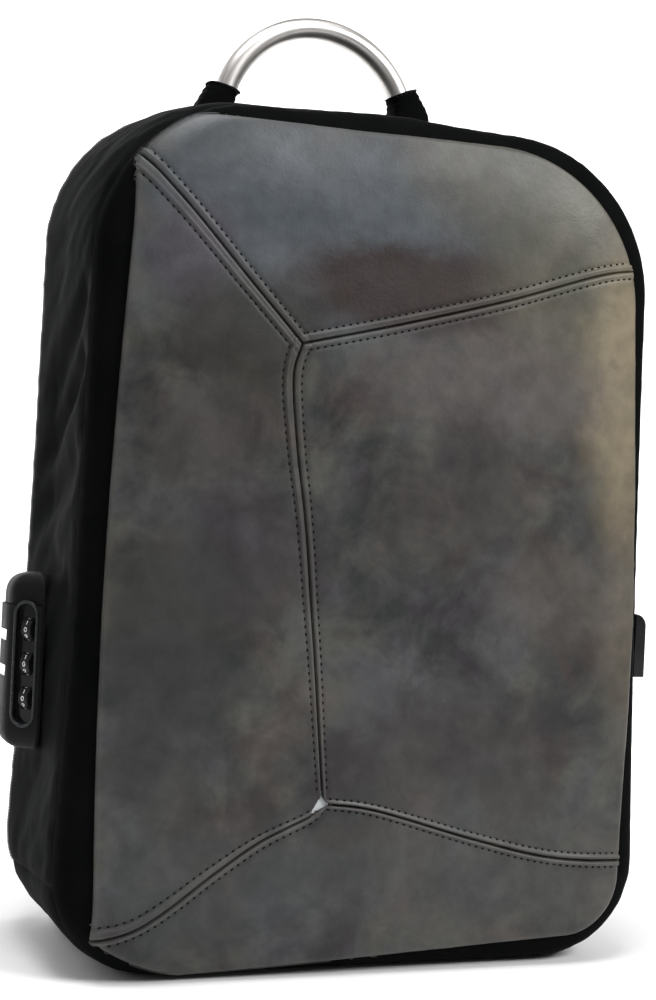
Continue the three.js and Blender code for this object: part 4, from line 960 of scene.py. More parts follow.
def relief(points, panel):
    """Height of a panel over its resting place, and how pale its colour is there: rubbed wear together with painted
    highlight along the strips' crests and the cut edge.
    """
    drop = np.zeros(len(points))
    raised = np.zeros(len(points))
    dip = np.zeros(len(points))
    wear_and_highlight = np.zeros(len(points))
    for seam, widths in STRIPS[panel].items():
        gap, index = distance_to(points, SEAM_CURVES[seam])
        gap = np.maximum(gap - SEAM_HALF, 0)
        width = strip_width(widths, index, seam)
        drop = np.minimum(drop, turned_edge(gap, 0.0011, 0.0025))
        strip = STRIP_RISE * (1 - smooth_step(width - 0.0003, width + 0.0007, gap))
        raised = np.maximum(raised, strip + 0.0003 * hump(gap, width - 0.0007, 0.0006))
        dip = np.minimum(dip, -STITCH_DIP * hump(gap, width + STITCH_OUT, 0.0010))
        # Paler crests of the strip: rubbed wear with painted highlight
        crest = hump(gap, width - 0.0006, 0.0007) + 0.8 * hump(gap, 0.0009, 0.0006)
        wear_and_highlight = np.maximum(wear_and_highlight, np.clip(0.5 * crest + 0.2 * (gap < width), 0, 1))
    drop = np.minimum(drop, turned_edge(distance_to(points, PATCH_RIM)[0], 0.0009, 0.0018))
    edge = distance_to(points, LEATHER_OUTLINE)[0]
    drop = np.minimum(drop, turned_edge(edge, 0.0022, 0.0017))
    # Paler line along the cut edge: rubbed wear with painted highlight of the folded edge
    wear_and_highlight = np.maximum(wear_and_highlight, 0.45 * hump(edge, 0.0014, 0.0012))
    return drop + raised + dip, wear_and_highlight


def leather_points(points, height):
    """Points in space that stand off the body's front by a height."""
    depths, normals = front_depth(points)
    base = np.stack([points[:, 0], depths, points[:, 1]], -1)
    soft = 0.0006 * cloud(base, 16, 2, 2.2)
    return base + normals * (GAP + LEATHER + height + soft)[:, None]


def leather_panels():
    points, faces = leather_mesh()
    middles = points[faces].mean(1)
    allowed = inside(middles, LEATHER_OUTLINE) & ~inside(middles, PATCH_RIM)
    for curve in SEAM_CURVES.values():
        allowed &= distance_to(middles, curve)[0] > SEAM_HALF * 0.93
    for panel, edges in PANEL_EDGES.items():
        polygon = np.concatenate([np.array(part) for part in edges])
        chosen = faces[allowed & inside(middles, polygon)]
        used, faces_here = np.unique(chosen, return_inverse=True)
        faces_here = faces_here.reshape(-1, 3)
        flat = points[used]
        height, wear_and_highlight = relief(flat, panel)
        placed = leather_points(flat, height)
        corners = placed[faces_here]
        turned = np.cross(corners[:, 1] - corners[:, 0], corners[:, 2] - corners[:, 0])[:, 1] > 0
        faces_here[turned] = faces_here[turned][:, ::-1]
        piece = add_mesh(
            "leather_" + panel, placed, faces_here, LEATHER_LOOK, ["front_leather_" + panel]
        )
        # Paleness for the material: rubbed wear with painted highlight
        set_values(piece, "wear_and_highlight", wear_and_highlight)
        solidify(piece, SHEET)
        size = np.ptp(flat, axis=0)
        SHEETS["leather_" + panel] = (piece, *size, surface_area(placed, faces_here))


leather_panels()


def seam_patch():
    """The pale cloth that shows where the lower seams part."""
    corners = patch_corners(1.25 * PATCH_SIZE)
    count = 10
    points = []
    for i in range(count + 1):
        for j in range(count + 1 - i):
            a, b = i / count, j / count
            points.append(corners[0] * (1 - a - b) + corners[1] * a + corners[2] * b)
    points = np.array(points)
    made = plane_geometry.delaunay_2d_cdt([Vector(p) for p in points], [], [], 0, 1e-7)
    flat = np.array([tuple(v) for v in made[0]])
    faces = np.array([tuple(f) for f in made[2]])[:, ::-1]
    placed = leather_points(flat, np.full(len(flat), -0.0012))
    corners = placed[faces]
    turned = np.cross(corners[:, 1] - corners[:, 0], corners[:, 2] - corners[:, 0])[:, 1] > 0
    faces[turned] = faces[turned][:, ::-1]
    piece = add_mesh("junction_cloth", placed, faces, PATCH, ["seam_junction_patch"])
    solidify(piece, 0.0008)
    SHEETS["junction_cloth"] = (piece, *np.ptp(flat, axis=0), surface_area(placed, faces))


seam_patch()

STITCH_PITCH = 0.0040
STITCH_LENGTH = 0.0021
STITCH_WIDTH = 0.0009


def bead_shape(sides, rings):
    """An oval bead that dives at its ends: unit points and faces."""
    points = []
    for i in range(rings):
        along = -1 + 2 * i / (rings - 1)
        radius = math.sqrt(max(0.0, 1 - abs(along) ** 2.6)) + 0.05
        for j in range(sides):
            turn = 2 * math.pi * j / sides
            points.append((along, radius * math.cos(turn), radius * math.sin(turn) - 0.9 * abs(along) ** 3))
    faces = list(grid_faces(rings, sides, True))
    faces += [tuple(range(sides))[::-1], tuple(range((rings - 1) * sides, rings * sides))]
    return np.array(points), faces


def add_beads(name, places, size, sides, rings, material):
    """Many beads as one mesh. A place is a point, a direction along the row and an outward normal."""
    shape, shape_faces = bead_shape(sides, rings)
    shape = shape * np.array(size) / 2
    points, faces = [], []
    for count, (middle, along, out) in enumerate(places):
        basis = np.stack([along, np.cross(out, along), out])
        points.append(middle + shape @ basis)
        faces += [tuple(int(i) + count * len(shape) for i in face) for face in shape_faces]
    return add_mesh(name, np.concatenate(points), faces, material)


def add_stitches(name, places, material=THREAD):
    return add_beads(name, places, (STITCH_LENGTH, STITCH_WIDTH, STITCH_WIDTH), 8, 7, material)


def leather_stitches():
    places = []
    for panel, strips in STRIPS.items():
        polygon = np.concatenate([np.array(part) for part in PANEL_EDGES[panel]])
        for seam, widths in strips.items():
            curve = SEAM_CURVES[seam]
            width = strip_width(widths, np.arange(len(curve)), seam)
            for side in (-1, 1):
                row = offset_curve(curve, side * (width + SEAM_HALF + STITCH_OUT))
                row = spline(row[::12], STITCH_PITCH)
                along = np.gradient(row, axis=0)
                keep = inside(row, polygon) & inside(row, LEATHER_OUTLINE)
                keep &= distance_to(row, LEATHER_OUTLINE)[0] > 0.0025
                keep &= distance_to(row, PATCH_RIM)[0] > STITCH_OUT
                for other, other_widths in strips.items():
                    if other != seam:
                        gap, index = distance_to(row, SEAM_CURVES[other])
                        keep &= gap > strip_width(other_widths, index, other) + STITCH_OUT
                if not keep.any():
                    continue
                flat, along = row[keep], along[keep]
                height = relief(flat, panel)[0]
                middle = leather_points(flat, height + 0.0001)
                ahead = leather_points(flat + 0.25 * along, height + 0.0001)
                out = front_depth(flat)[1]
                for place, front, normal in zip(middle, ahead, out):
                    way = front - place
                    way -= normal * way.dot(normal)
                    places.append((place, way / np.linalg.norm(way), normal))
    return add_stitches("leather_stitches", places)


leather_stitches()


# Shapes made of rings

def unit(vector):
    vector = np.asarray(vector, float)
    return vector / np.linalg.norm(vector)


def rounded_ring(middle, wide, thick, width, thickness, count, corner=4.0):
    """Points of a rounded rectangle round a middle, in a plane given by two directions."""
    turn = 2 * np.pi * (np.arange(count) + 0.5) / count
    a = np.sign(np.cos(turn)) * np.abs(np.cos(turn)) ** (2 / corner) * width / 2
    b = np.sign(np.sin(turn)) * np.abs(np.sin(turn)) ** (2 / corner) * thickness / 2
    return np.asarray(middle) + a[:, None] * np.asarray(wide) + b[:, None] * np.asarray(thick)


def turn_out(piece, sharp=None):
    """Turns a closed piece's faces outwards, and keeps edges sharper than an angle in degrees crisp."""
    shape = bmesh.new()
    shape.from_mesh(piece.data)
    bmesh.ops.recalc_face_normals(shape, faces=shape.faces)
    shape.to_mesh(piece.data)
    shape.free()
    if sharp:
        piece.data.set_sharp_from_angle(angle=math.radians(sharp))
    return piece


def ring_faces(rings, columns, capped=True):
    faces = [tuple(int(i) for i in face) for face in grid_faces(rings, columns, True)]
    if capped:
        faces.append(tuple(range(columns))[::-1])
        faces.append(tuple(range((rings - 1) * columns, rings * columns)))
    return faces


def lofted(name, rings, material, replaces=(), body="root", sharp=None):
    """A closed piece through rings of points."""
    rings = np.asarray(rings, float)
    faces = ring_faces(len(rings), rings.shape[1])
    piece = add_mesh(name, rings.reshape(-1, 3), faces, material, replaces, body)
    return turn_out(piece, sharp)


def swept(path, radius, sides=8, flat=1.0, out=None):
    """Rings of a round or flattened cord along a path."""
    path = np.asarray(path, float)
    ways = np.gradient(path, axis=0)
    rings = []
    side = np.array([0.0, 1.0, 0.0]) if out is None else None
    for index, (place, way) in enumerate(zip(path, ways)):
        way = unit(way)
        up = side if out is None else np.asarray(out)[index]
        up = unit(up - way * np.dot(up, way))
        across = np.cross(way, up)
        if out is None:
            side = up
        rings.append(rounded_ring(place, across, up, 2 * radius, 2 * radius * flat, sides, 2.0))
    return np.array(rings)


def cutter(name, points, faces, material):
    """A hidden solid that cuts another."""
    data = bpy.data.meshes.new(name)
    data.from_pydata([tuple(map(float, p)) for p in points], [], [tuple(map(int, f)) for f in faces])
    data.materials.append(material)
    piece = bpy.data.objects.new(name, data)
    scene.collection.objects.link(piece)
    return turn_out(piece)


def cut(piece, tools):
    """Takes solids out of a piece and removes them from the scene."""
    for tool in tools:
        modifier = piece.modifiers.new("cut", "BOOLEAN")
        modifier.operation = "DIFFERENCE"
        modifier.solver = "EXACT"
        modifier.material_mode = "TRANSFER"
        modifier.object = tool
    apply_modifiers(piece)
    for tool in tools:
        bpy.data.objects.remove(tool)


def apply_modifiers(piece):
    graph = bpy.context.evaluated_depsgraph_get()
    made = bpy.data.meshes.new_from_object(piece.evaluated_get(graph), depsgraph=graph)
    piece.modifiers.clear()
    piece.data = made


def soften(piece, width, segments=3, angle=32):
    """Rounds a hard piece's edges."""
    modifier = piece.modifiers.new("edges", "BEVEL")
    modifier.width = width
    modifier.segments = segments
    modifier.limit_method = "ANGLE"
    modifier.angle_limit = math.radians(angle)
    modifier.harden_normals = False
    return piece


def stitch_row(name, path, out, pitch=0.0036, height=0.0):
    """Stitches along a path in space, with outward directions for each of its points."""
    path = np.asarray(path, float)
    out = np.asarray(out, float)
    lengths = np.linalg.norm(np.diff(path, axis=0), axis=1)
    runs = np.concatenate([[0], np.cumsum(lengths)])
    marks = np.linspace(pitch / 2, runs[-1] - pitch / 2, max(2, int(runs[-1] / pitch)))
    places = np.stack([np.interp(marks, runs, path[:, axis]) for axis in range(3)], -1)
    ways = np.gradient(places, axis=0)
    normals = np.stack([np.interp(marks, runs, out[:, axis]) for axis in range(3)], -1)
    stitches = []
    for place, way, normal in zip(places, ways, normals):
        normal = unit(normal)
        way = unit(way - normal * np.dot(way, normal))
        stitches.append((place + normal * height, way, normal))
    return add_stitches(name, stitches, THREAD)


# Handle
HANDLE_RADIUS = 0.0585
HANDLE_TUBE = 0.013
HANDLE_DEPTH = 0.139
HANDLE_RISE = 0.062
HANDLE_LEAN = -4.5
HANDLE_REACH = 86
CUFF_WALL = 0.0027
CUFF_FOOT = 0.025
CUFF_SHIFT = 0.002
CUFF_TURN = 69
HANDLE_Y = FRONT + HANDLE_DEPTH
HANDLE_Z = BODY_HEIGHT + HANDLE_RISE - HANDLE_RADIUS


def handle_point(degrees, shift=0.0):
    turn = math.radians(degrees + HANDLE_LEAN)
    radius = HANDLE_RADIUS + shift
    return np.array([radius * math.sin(turn), HANDLE_Y, HANDLE_Z + radius * math.cos(turn)])


def handle_tube():
    path = [handle_point(degrees) for degrees in np.linspace(-HANDLE_REACH, HANDLE_REACH, 110)]
    piece = lofted("handle", swept(path, HANDLE_TUBE / 2, 40), ALUMINIUM, ["handle_tube"])
    piece.data.set_sharp_from_angle(angle=math.radians(50))


def top_height(x, y):
    """Height of the body's top at a place."""
    hit = TOP_TREE.ray_cast(Vector((x, y, 1)), Vector((0, 0, -1)))[0]
    return hit.z


def body_tree(rows):
    points = dressed_skin(rows)
    faces = grid_faces(len(rows), LOOP_COUNT, True)
    flat = [tuple(map(float, p)) for p in points.reshape(-1, 3)]
    return BVHTree.FromPolygons(flat, [tuple(map(int, f)) for f in faces])


TOP_TREE = body_tree(rows_between(row_of("front_seam"), row_of("back_seam"), 0.12))


def cuff(word, side, spread):
    """A black cloth cuff: a boxy foot sewn to the body that narrows to a mouth round the tube."""
    mouth = HANDLE_TUBE + 2 * CUFF_WALL
    foot = top_height(side * (HANDLE_RADIUS + 2 * CUFF_SHIFT), HANDLE_Y)
    rings = []
    start = handle_point(side * 90, 2 * CUFF_SHIFT)
    start[2] = foot
    stops = 34
    for i in range(stops + 1):
        share = i / stops
        turn = mix(90, CUFF_TURN, share)
        bend = smooth_step(0, 0.5, share)
        angle = math.radians(side * turn + HANDLE_LEAN)
        across = mix(np.array([side, 0, 0]), np.array([math.sin(angle), 0, math.cos(angle)]), bend)
        middle = handle_point(side * turn, CUFF_SHIFT)
        middle = mix(start, middle, smooth_step(0, 0.35, share)) if share < 0.35 else middle
        middle[0] += side * spread * (1 - share)
        width = mix(CUFF_FOOT, mouth, smooth_step(0, 0.95, share))
        depth = mix(mouth + CUFF_WALL, mouth, share)
        corner = mix(5.5, 2.6, smooth_step(0.2, 1, share))
        ring = rounded_ring(middle, unit(across), (0, 1, 0), width, depth, 64, corner)
        ring += unit(np.array([math.sin(angle), 0, math.cos(angle)])) * 0.0003 * math.sin(40 * share) * share
        rings.append(ring)
    angle = math.radians(side * CUFF_TURN + HANDLE_LEAN)
    across = np.array([math.sin(angle), 0, math.cos(angle)])
    inward = side * np.array([math.cos(angle), 0, -math.sin(angle)])
    place = handle_point(side * CUFF_TURN)
    for along, radius in ((-0.0006, 0.5 * mouth - 0.0004), (-0.0008, 0.5 * mouth - 0.0014), (0.0004, 0.0069), (0.004, 0.0069)):
        rings.append(rounded_ring(place + inward * along, across, (0, 1, 0), 2 * radius, 2 * radius, 64, 2.1))
    rings = np.array(rings)
    rings += 0.00035 * cloud(rings, 130, 2, 6.0 + side)[..., None] * unit((side, 0.4, 0.5))
    piece = lofted("cuff_" + word, rings, NYLON, ["handle_cuff_" + word], sharp=60)
    hem = rings[-6]
    away = hem - hem.mean(0)
    closed = np.concatenate([hem, hem[:1]])
    stitch_row("cuff_stitches_" + word, closed, np.concatenate([away, away[:1]]), 0.003, height=0.0001)
    return piece


handle_tube()
cuff("left", -1, 0.005)
cuff("right", 1, 0)

# Lock. across runs from its front edge to its back edge and rise stands out from the body.
LOCK_WIDTH = 0.040
LOCK_LENGTH = 0.094
LOCK_HEIGHT = 0.0165
LOCK_MIDDLE = 0.156
LOCK_FRONT = 0.054
LOCK_SEAT = -0.16836
LOCK_Y = FRONT + LOCK_FRONT
RELEASE_LENGTH = 0.017
RELEASE_STEP = 0.0014
RELEASE_LOW = LOCK_MIDDLE + LOCK_LENGTH / 2 - RELEASE_LENGTH
DIAL_RADIUS = 0.0062
DIAL_WIDTH = 0.0056
DIAL_PITCH = 0.0181
DIAL_PROUD = 0.0005
DIAL_SHIFT = -0.001
DIAL_DIGITS = 10
WINDOW_WIDTH = 0.0124
WINDOW_LENGTH = 0.064
WINDOW_DEPTH = 0.0032
SLOT_HEIGHT = 0.0056
SLOT_DEPTH = 0.0075
SLOT_PITCH = 0.0188
SLOT_SHIFT = 0.0039
SLOT_START = 0.018
LOCK_PROFILE = [
    (0, 0), (0, 0.12), (0.03, 0.17), (0.31, 0.83), (0.38, 0.94), (0.48, 1), (0.78, 1), (0.9, 0.93),
    (0.98, 0.72), (1, 0.4), (1, 0),
]


def lock_point(across, rise, z):
    return np.array([LOCK_SEAT - rise, LOCK_Y + across, z])


def rounded_corners(points, share, times):
    """An open line with its corners cut again and again."""
    points = np.asarray(points, float)
    for _ in range(times):
        a, b = points[:-1], points[1:]
        cuts = np.stack([mix(a, b, share), mix(a, b, 1 - share)], 1).reshape(-1, points.shape[1])
        points = np.concatenate([points[:1], cuts[1:-1], points[-1:]])
    return points


LOCK_OUTLINE = rounded_corners(LOCK_PROFILE, 0.16, 2)


def lock_size(along):
    """Size of the lock's cross-section at a share of its half length."""
    past = np.clip((abs(along) - 0.68) / 0.32, 0, 0.9965)
    return (1 - past**3) ** (1 / 3)


def lock_rings(low, high, shrink):
    rings = []
    half = LOCK_LENGTH / 2
    marks = [-1, -0.998, -0.993, -0.985, -0.97, -0.95, -0.92, -0.88, -0.83, -0.77, -0.7]
    marks = np.array(marks + list(np.linspace(-0.6, 0.6, 13)) + [-mark for mark in marks[::-1]])
    heights = LOCK_MIDDLE + half * marks
    heights = heights[(heights > low + 0.0004) & (heights < high - 0.0004)]
    for z in np.concatenate([[low], heights, [high]]):
        size = lock_size((z - LOCK_MIDDLE) / half)
        across = mix(0.5, LOCK_OUTLINE[:, 0], size) * LOCK_WIDTH + (0.5 - LOCK_OUTLINE[:, 0]) * 2 * shrink
        rise = LOCK_OUTLINE[:, 1] * size * LOCK_HEIGHT - np.where(LOCK_OUTLINE[:, 1] > 0, shrink, 0)
        rise = np.maximum(rise, 0)
        rings.append(np.stack([LOCK_SEAT - rise, LOCK_Y + across, np.full(len(rise), z)], -1))
    return rings


FACE_START = lock_point(LOCK_PROFILE[2][0] * LOCK_WIDTH, LOCK_PROFILE[2][1] * LOCK_HEIGHT, LOCK_MIDDLE)
FACE_END = lock_point(LOCK_PROFILE[3][0] * LOCK_WIDTH, LOCK_PROFILE[3][1] * LOCK_HEIGHT, LOCK_MIDDLE)
FACE_ALONG = unit(FACE_END - FACE_START)
FACE_IN = np.cross(FACE_ALONG, (0, 0, 1))
FACE_MIDDLE = (FACE_START + FACE_END) / 2 + np.array([0, 0, DIAL_SHIFT])


def on_face(along, up, inward):
    """A point over the lock's slanted face."""
    along, up, inward = np.broadcast_arrays(along, up, inward)
    return FACE_MIDDLE + along[..., None] * FACE_ALONG + up[..., None] * np.array([0, 0, 1]) + inward[..., None] * FACE_IN


def stadium(width, length, count=20):
    """A long round-ended outline in the face's plane."""
    straight = length / 2 - width / 2
    turn = np.linspace(0, math.pi, count)
    top = np.stack([width / 2 * np.cos(turn), straight + width / 2 * np.sin(turn)], -1)
    return np.concatenate([top, -top])


def face_prism(name, outline, start, end, material):
    rings = [on_face(outline[:, 0], outline[:, 1], depth) for depth in (start, end)]
    return cutter(name, np.concatenate(rings), ring_faces(2, len(outline)), material)


def dial_place(index):
    return DIAL_PITCH * (1 - index)


def dial_rings(index, radius, width, sides, notch=0.0, ease=0.0):
    """Rings round a dial's axis, from one end to the other."""
    turn = 2 * np.pi * np.arange(sides) / sides
    per_digit = sides // DIAL_DIGITS
    dip = np.exp(-((((np.arange(sides) + per_digit / 2) % per_digit - per_digit / 2) / 1.2) ** 2)) if notch else 0
    rings = []
    for place, less in ((-0.5, ease), (-0.5 + 0.08, 0), (0.5 - 0.08, 0), (0.5, ease)):
        size = radius - less - notch * dip
        rings.append(on_face(
            np.full(sides, width * place),
            dial_place(index) + size * np.sin(turn),
            DIAL_RADIUS - DIAL_PROUD - size * np.cos(turn),
        ))
    return rings


def lock_housing():
    piece = lofted("lock", lock_rings(LOCK_MIDDLE - LOCK_LENGTH / 2, RELEASE_LOW - GAP, 0), CASE)
    tools = [face_prism("window", stadium(WINDOW_WIDTH, WINDOW_LENGTH), -0.01, WINDOW_DEPTH, GLOSS)]
    for index in range(3):
        rings = dial_rings(index, DIAL_RADIUS + GAP, DIAL_WIDTH + 2 * GAP, 48)
        tools.append(cutter("bore", np.concatenate(rings), ring_faces(4, 48), GLOSS))
    for index in range(2):
        z = LOCK_MIDDLE + SLOT_SHIFT + SLOT_PITCH * (index - 0.5)
        tools.append(slot_cutter(z))
    cut(piece, tools)
    piece.data.set_sharp_from_angle(angle=math.radians(40))
    soften(piece, 0.0004, 3, 40)
    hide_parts("lock_housing")
    rim = stadium(WINDOW_WIDTH + 0.0013, WINDOW_LENGTH + 0.0013, 30)
    path = on_face(rim[:, 0], rim[:, 1], -0.0001)
    out = np.broadcast_to(-FACE_IN, path.shape)
    closed = np.concatenate([path, path[:1]])
    rings = swept(closed, 0.00085, 12, 0.7, np.concatenate([out, out[:1]]))[:-1]
    faces = [tuple(int(i) for i in face) for face in grid_faces(len(rings), 12, True)]
    last = (len(rings) - 1) * 12
    faces += [(last + i, last + (i + 1) % 12, (i + 1) % 12, i) for i in range(12)]
    turn_out(add_mesh("lock_bezel", rings.reshape(-1, 3), faces, BEZEL))


def slot_cutter(z):
    low = LOCK_HEIGHT - SLOT_DEPTH
    rows = []
    for across in (SLOT_START, 2 * LOCK_WIDTH):
        for up in (-0.5, 0.5):
            rows.append(lock_point(across, low, z + up * SLOT_HEIGHT))
            rows.append(lock_point(across, 2 * LOCK_HEIGHT, z + up * SLOT_HEIGHT))
    order = [rows[i] for i in (0, 1, 3, 2, 4, 5, 7, 6)]
    return cutter("slot", order, ring_faces(2, 4), GLOSS)


# Lines of each digit, in a box one unit high: across and up from its middle
DIGITS = [
    [[(0.3 * math.cos(a), 0.5 * math.sin(a)) for a in np.linspace(0, 2 * math.pi, 25)]],
    [[(-0.14, 0.32), (0.06, 0.5), (0.06, -0.5)]],
    [[(-0.3, 0.25), (-0.22, 0.43), (0, 0.5), (0.22, 0.43), (0.3, 0.25), (0.2, 0), (-0.3, -0.5), (0.32, -0.5)]],
    [[(-0.28, 0.38), (-0.1, 0.5), (0.12, 0.5), (0.28, 0.36), (0.25, 0.12), (0.0, 0.03), (0.27, -0.1),
      (0.3, -0.34), (0.12, -0.5), (-0.12, -0.5), (-0.3, -0.36)]],
    [[(0.15, -0.5), (0.15, 0.5), (-0.3, -0.2), (0.32, -0.2)]],
    [[(0.28, 0.5), (-0.24, 0.5), (-0.28, 0.06), (0, 0.14), (0.26, 0.02), (0.3, -0.22), (0.18, -0.44),
      (-0.06, -0.5), (-0.3, -0.4)]],
    [[(0.2, 0.48), (-0.08, 0.36), (-0.26, 0.08), (-0.3, -0.2), (-0.14, -0.46), (0.1, -0.5), (0.28, -0.34),
      (0.28, -0.12), (0.1, 0.04), (-0.14, 0), (-0.28, -0.16)]],
    [[(-0.3, 0.5), (0.3, 0.5), (-0.08, -0.5)]],
    [[(0.22 * math.cos(a), 0.26 + 0.24 * math.sin(a)) for a in np.linspace(0, 2 * math.pi, 19)],
     [(0.28 * math.cos(a), -0.24 + 0.26 * math.sin(a)) for a in np.linspace(0, 2 * math.pi, 19)]],
    [[(-0.2, -0.48), (0.08, -0.36), (0.26, -0.08), (0.3, 0.2), (0.14, 0.46), (-0.1, 0.5), (-0.28, 0.34),
      (-0.28, 0.12), (-0.1, -0.04), (0.14, 0), (0.28, 0.16)]],
]
DIGIT_HEIGHT = 0.0023
DIGIT_LINE = 0.00036


def dial(index):
    """A dial whose ten digits stand round it, with zero outwards."""
    name = "dial_%d" % (index + 1)
    rings = dial_rings(index, DIAL_RADIUS, DIAL_WIDTH, 160, 0.0004, 0.0004)
    lofted(name, rings, PLASTIC, ["lock_dial_%d" % (index + 1)], name, 25)
    points, faces = [], []
    for digit, lines in enumerate(DIGITS):
        for route in lines:
            route = spline(route, 0.06) if len(route) > 12 else np.array(route)
            ways = np.gradient(route, axis=0)
            ways /= np.linalg.norm(ways, axis=1, keepdims=True)
            side = np.stack([-ways[:, 1], ways[:, 0]], -1) * DIGIT_LINE / 2
            start = len(points)
            for edge in (route * DIGIT_HEIGHT - side, route * DIGIT_HEIGHT + side):
                radius = DIAL_RADIUS + 0.00004
                turn = edge[:, 1] / radius + 2 * math.pi * digit / DIAL_DIGITS
                placed = on_face(
                    -edge[:, 0],
                    dial_place(index) + radius * np.sin(turn),
                    DIAL_RADIUS - DIAL_PROUD - radius * np.cos(turn),
                )
                points += list(placed)
            count = len(route)
            faces += [(start + i, start + i + 1, start + count + i + 1, start + count + i) for i in range(count - 1)]
    numbers = add_mesh(name + "_numbers", points, faces, INK, body=name, smooth=False)
    solidify(numbers, 0.00005, 0)


lock_housing()
release_rings = lock_rings(RELEASE_LOW, LOCK_MIDDLE + LOCK_LENGTH / 2, RELEASE_STEP)
release = lofted("release", release_rings, CASE, ["lock_release"], "release", 45)
soften(release, 0.0004)
for dial_index in range(3):
    dial(dial_index)

# Charging port
PORT_WIDTH = 0.022
PORT_LENGTH = 0.036
PORT_FRONT = 0.019
PORT_LOW = 0.155
PORT_CORNER = 0.007
PORT_OUT = 0.17114
PORT_SEAT = 0.16414
SOCKET_WIDTH = 0.0126
SOCKET_HEIGHT = 0.0046
SOCKET_DEPTH = 0.015


def port():
    high = PORT_LOW + PORT_LENGTH
    turn = np.linspace(0, math.pi / 2, 14)
    corner = np.stack([
        PORT_OUT - PORT_CORNER * (1 - np.cos(turn)), high - PORT_CORNER * (1 - np.sin(turn))
    ], -1)
    outline = np.concatenate([[(PORT_SEAT, PORT_LOW), (PORT_OUT, PORT_LOW)], corner, [(PORT_SEAT, high)]])
    start = FRONT + PORT_FRONT
    rings = [
        np.stack([outline[:, 0], np.full(len(outline), y), outline[:, 1]], -1) for y in (start, start + PORT_WIDTH)
    ]
    piece = lofted("port", rings, GLOSS)
    middle = ((PORT_SEAT + PORT_OUT) / 2, start + PORT_WIDTH / 2)
    rings = [
        rounded_ring((*middle, PORT_LOW + up), (1, 0, 0), (0, 1, 0), SOCKET_HEIGHT, SOCKET_WIDTH, 32, 6)
        for up in (-SOCKET_DEPTH, SOCKET_DEPTH)
    ]
    cut(piece, [cutter("socket", np.concatenate(rings), ring_faces(2, 32), PLASTIC)])
    soften(piece, 0.0007, 4, 35)
    piece.data.set_sharp_from_angle(angle=math.radians(45))
    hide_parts("port_housing")


port()

# Zip: tape, teeth and two sliders
TOOTH_HEIGHT = 0.0011
TOOTH_PITCH = 0.0017
SLIDER_LENGTH = 0.012
SLIDER_WIDTH = 0.009
SLIDER_THICK = 0.004
SLIDER_MIDDLE = 0.190
PULLER_LENGTH = 0.024
PULLER_WIDTH = 0.006
PULLER_THICK = 0.0016


def zip_run():
    skin_piece(
        "zip_cloth", row_of("zip_front") + SEAM_EDGE, row_of("zip_back") - SEAM_EDGE, 0.25,
        SIDE_COLUMNS, 0.0014, TAPE, "zip_chain",
    )
    row = (row_of("teeth_front") + row_of("teeth_back")) / 2
    loops = dressed_skin([row - 0.1, row, row + 0.1])[:, : SIDE_LAST + 1]
    normals = grid_normals(loops)[1]
    path, back = loops[1], unit_rows(loops[2] - loops[0])
    runs = np.concatenate([[0], np.cumsum(np.linalg.norm(np.diff(path, axis=0), axis=1))])
    marks = np.arange(TOOTH_PITCH, runs[-1] - TOOTH_PITCH, TOOTH_PITCH / 2)
    at = lambda values: np.stack([np.interp(marks, runs, values[:, axis]) for axis in range(3)], -1)
    places, outs, backs = at(path), at(normals), at(back)
    teeth = []
    for i, (place, out, across) in enumerate(zip(places, outs, backs)):
        out = unit(out)
        across = unit(across - out * np.dot(across, out))
        side = 1 if i % 2 else -1
        teeth.append((place + across * side * 0.0008 + out * 0.0003, across, out))
    add_beads("zip_teeth", teeth, (0.0028, 0.0010, 0.0014), 6, 4, GUNMETAL)


def side_place(y, z):
    """The body's right side at a depth and a height: its place and its outward direction."""
    hit, normal = TOP_TREE.ray_cast(Vector((1, y, z)), Vector((-1, 0, 0)))[:2]
    return np.array(hit), np.array(normal if normal.x > 0 else -normal)


def slider(word, way):
    y = (LOOPS[row_of("teeth_front")][0, 1] + LOOPS[row_of("teeth_back")][0, 1]) / 2
    z = SLIDER_MIDDLE + way * (SLIDER_LENGTH / 2 + GAP)
    place, out = side_place(y, z)
    up = np.array([0, 0, 1.0])
    back = unit(np.cross(up, out))
    up = np.cross(out, back)
    seat = place + out * (TOOTH_HEIGHT + GAP)
    rings = []
    for rise, width, length in (
        (0, 0.86, 0.94), (0.06, 0.97, 0.99), (0.2, 1, 1), (0.3, 0.9, 0.97), (0.42, 0.55, 0.8), (0.5, 0.55, 0.8),
        (0.6, 0.9, 0.97), (0.72, 1, 1), (0.9, 0.96, 0.98), (1, 0.84, 0.92),
    ):
        middle = seat + out * SLIDER_THICK * 0.72 * rise
        rings.append(rounded_ring(middle, back, up, SLIDER_WIDTH * width, SLIDER_LENGTH * length, 40, 3.2))
    lofted("slider_" + word, rings, GUNMETAL, ["zip_slider_" + word], sharp=40)
    top = seat + out * SLIDER_THICK * 0.72
    path = [top + up * way * 0.004 * math.cos(a) + out * 0.0016 * math.sin(a) for a in np.linspace(0, math.pi, 15)]
    lofted("slider_bridge_" + word, swept(path, 0.0009, 12, 1.6, [back] * 15), GUNMETAL)
    start = top + up * way * 0.0015 + out * 0.0006
    outer = rounded_corners([(-0.32, 0), (-0.5, 0.12), (-0.5, 0.9), (-0.3, 1), (0.3, 1), (0.5, 0.9), (0.5, 0.12), (0.32, 0)], 0.2, 2)
    rings = []
    for rise, shrink in ((0, 0.9), (0.25, 1), (0.75, 1), (1, 0.9)):
        flat = (outer - (0, 0.5)) * (shrink, 1 - (1 - shrink) * 0.25) + (0, 0.5)
        rings.append(
            start
            + back * flat[:, :1] * PULLER_WIDTH
            + up * way * flat[:, 1:] * PULLER_LENGTH
            + out * PULLER_THICK * rise
        )
    lofted("slider_puller_" + word, rings, GUNMETAL, sharp=45)


zip_run()
slider("upper", 1)
slider("lower", -1)

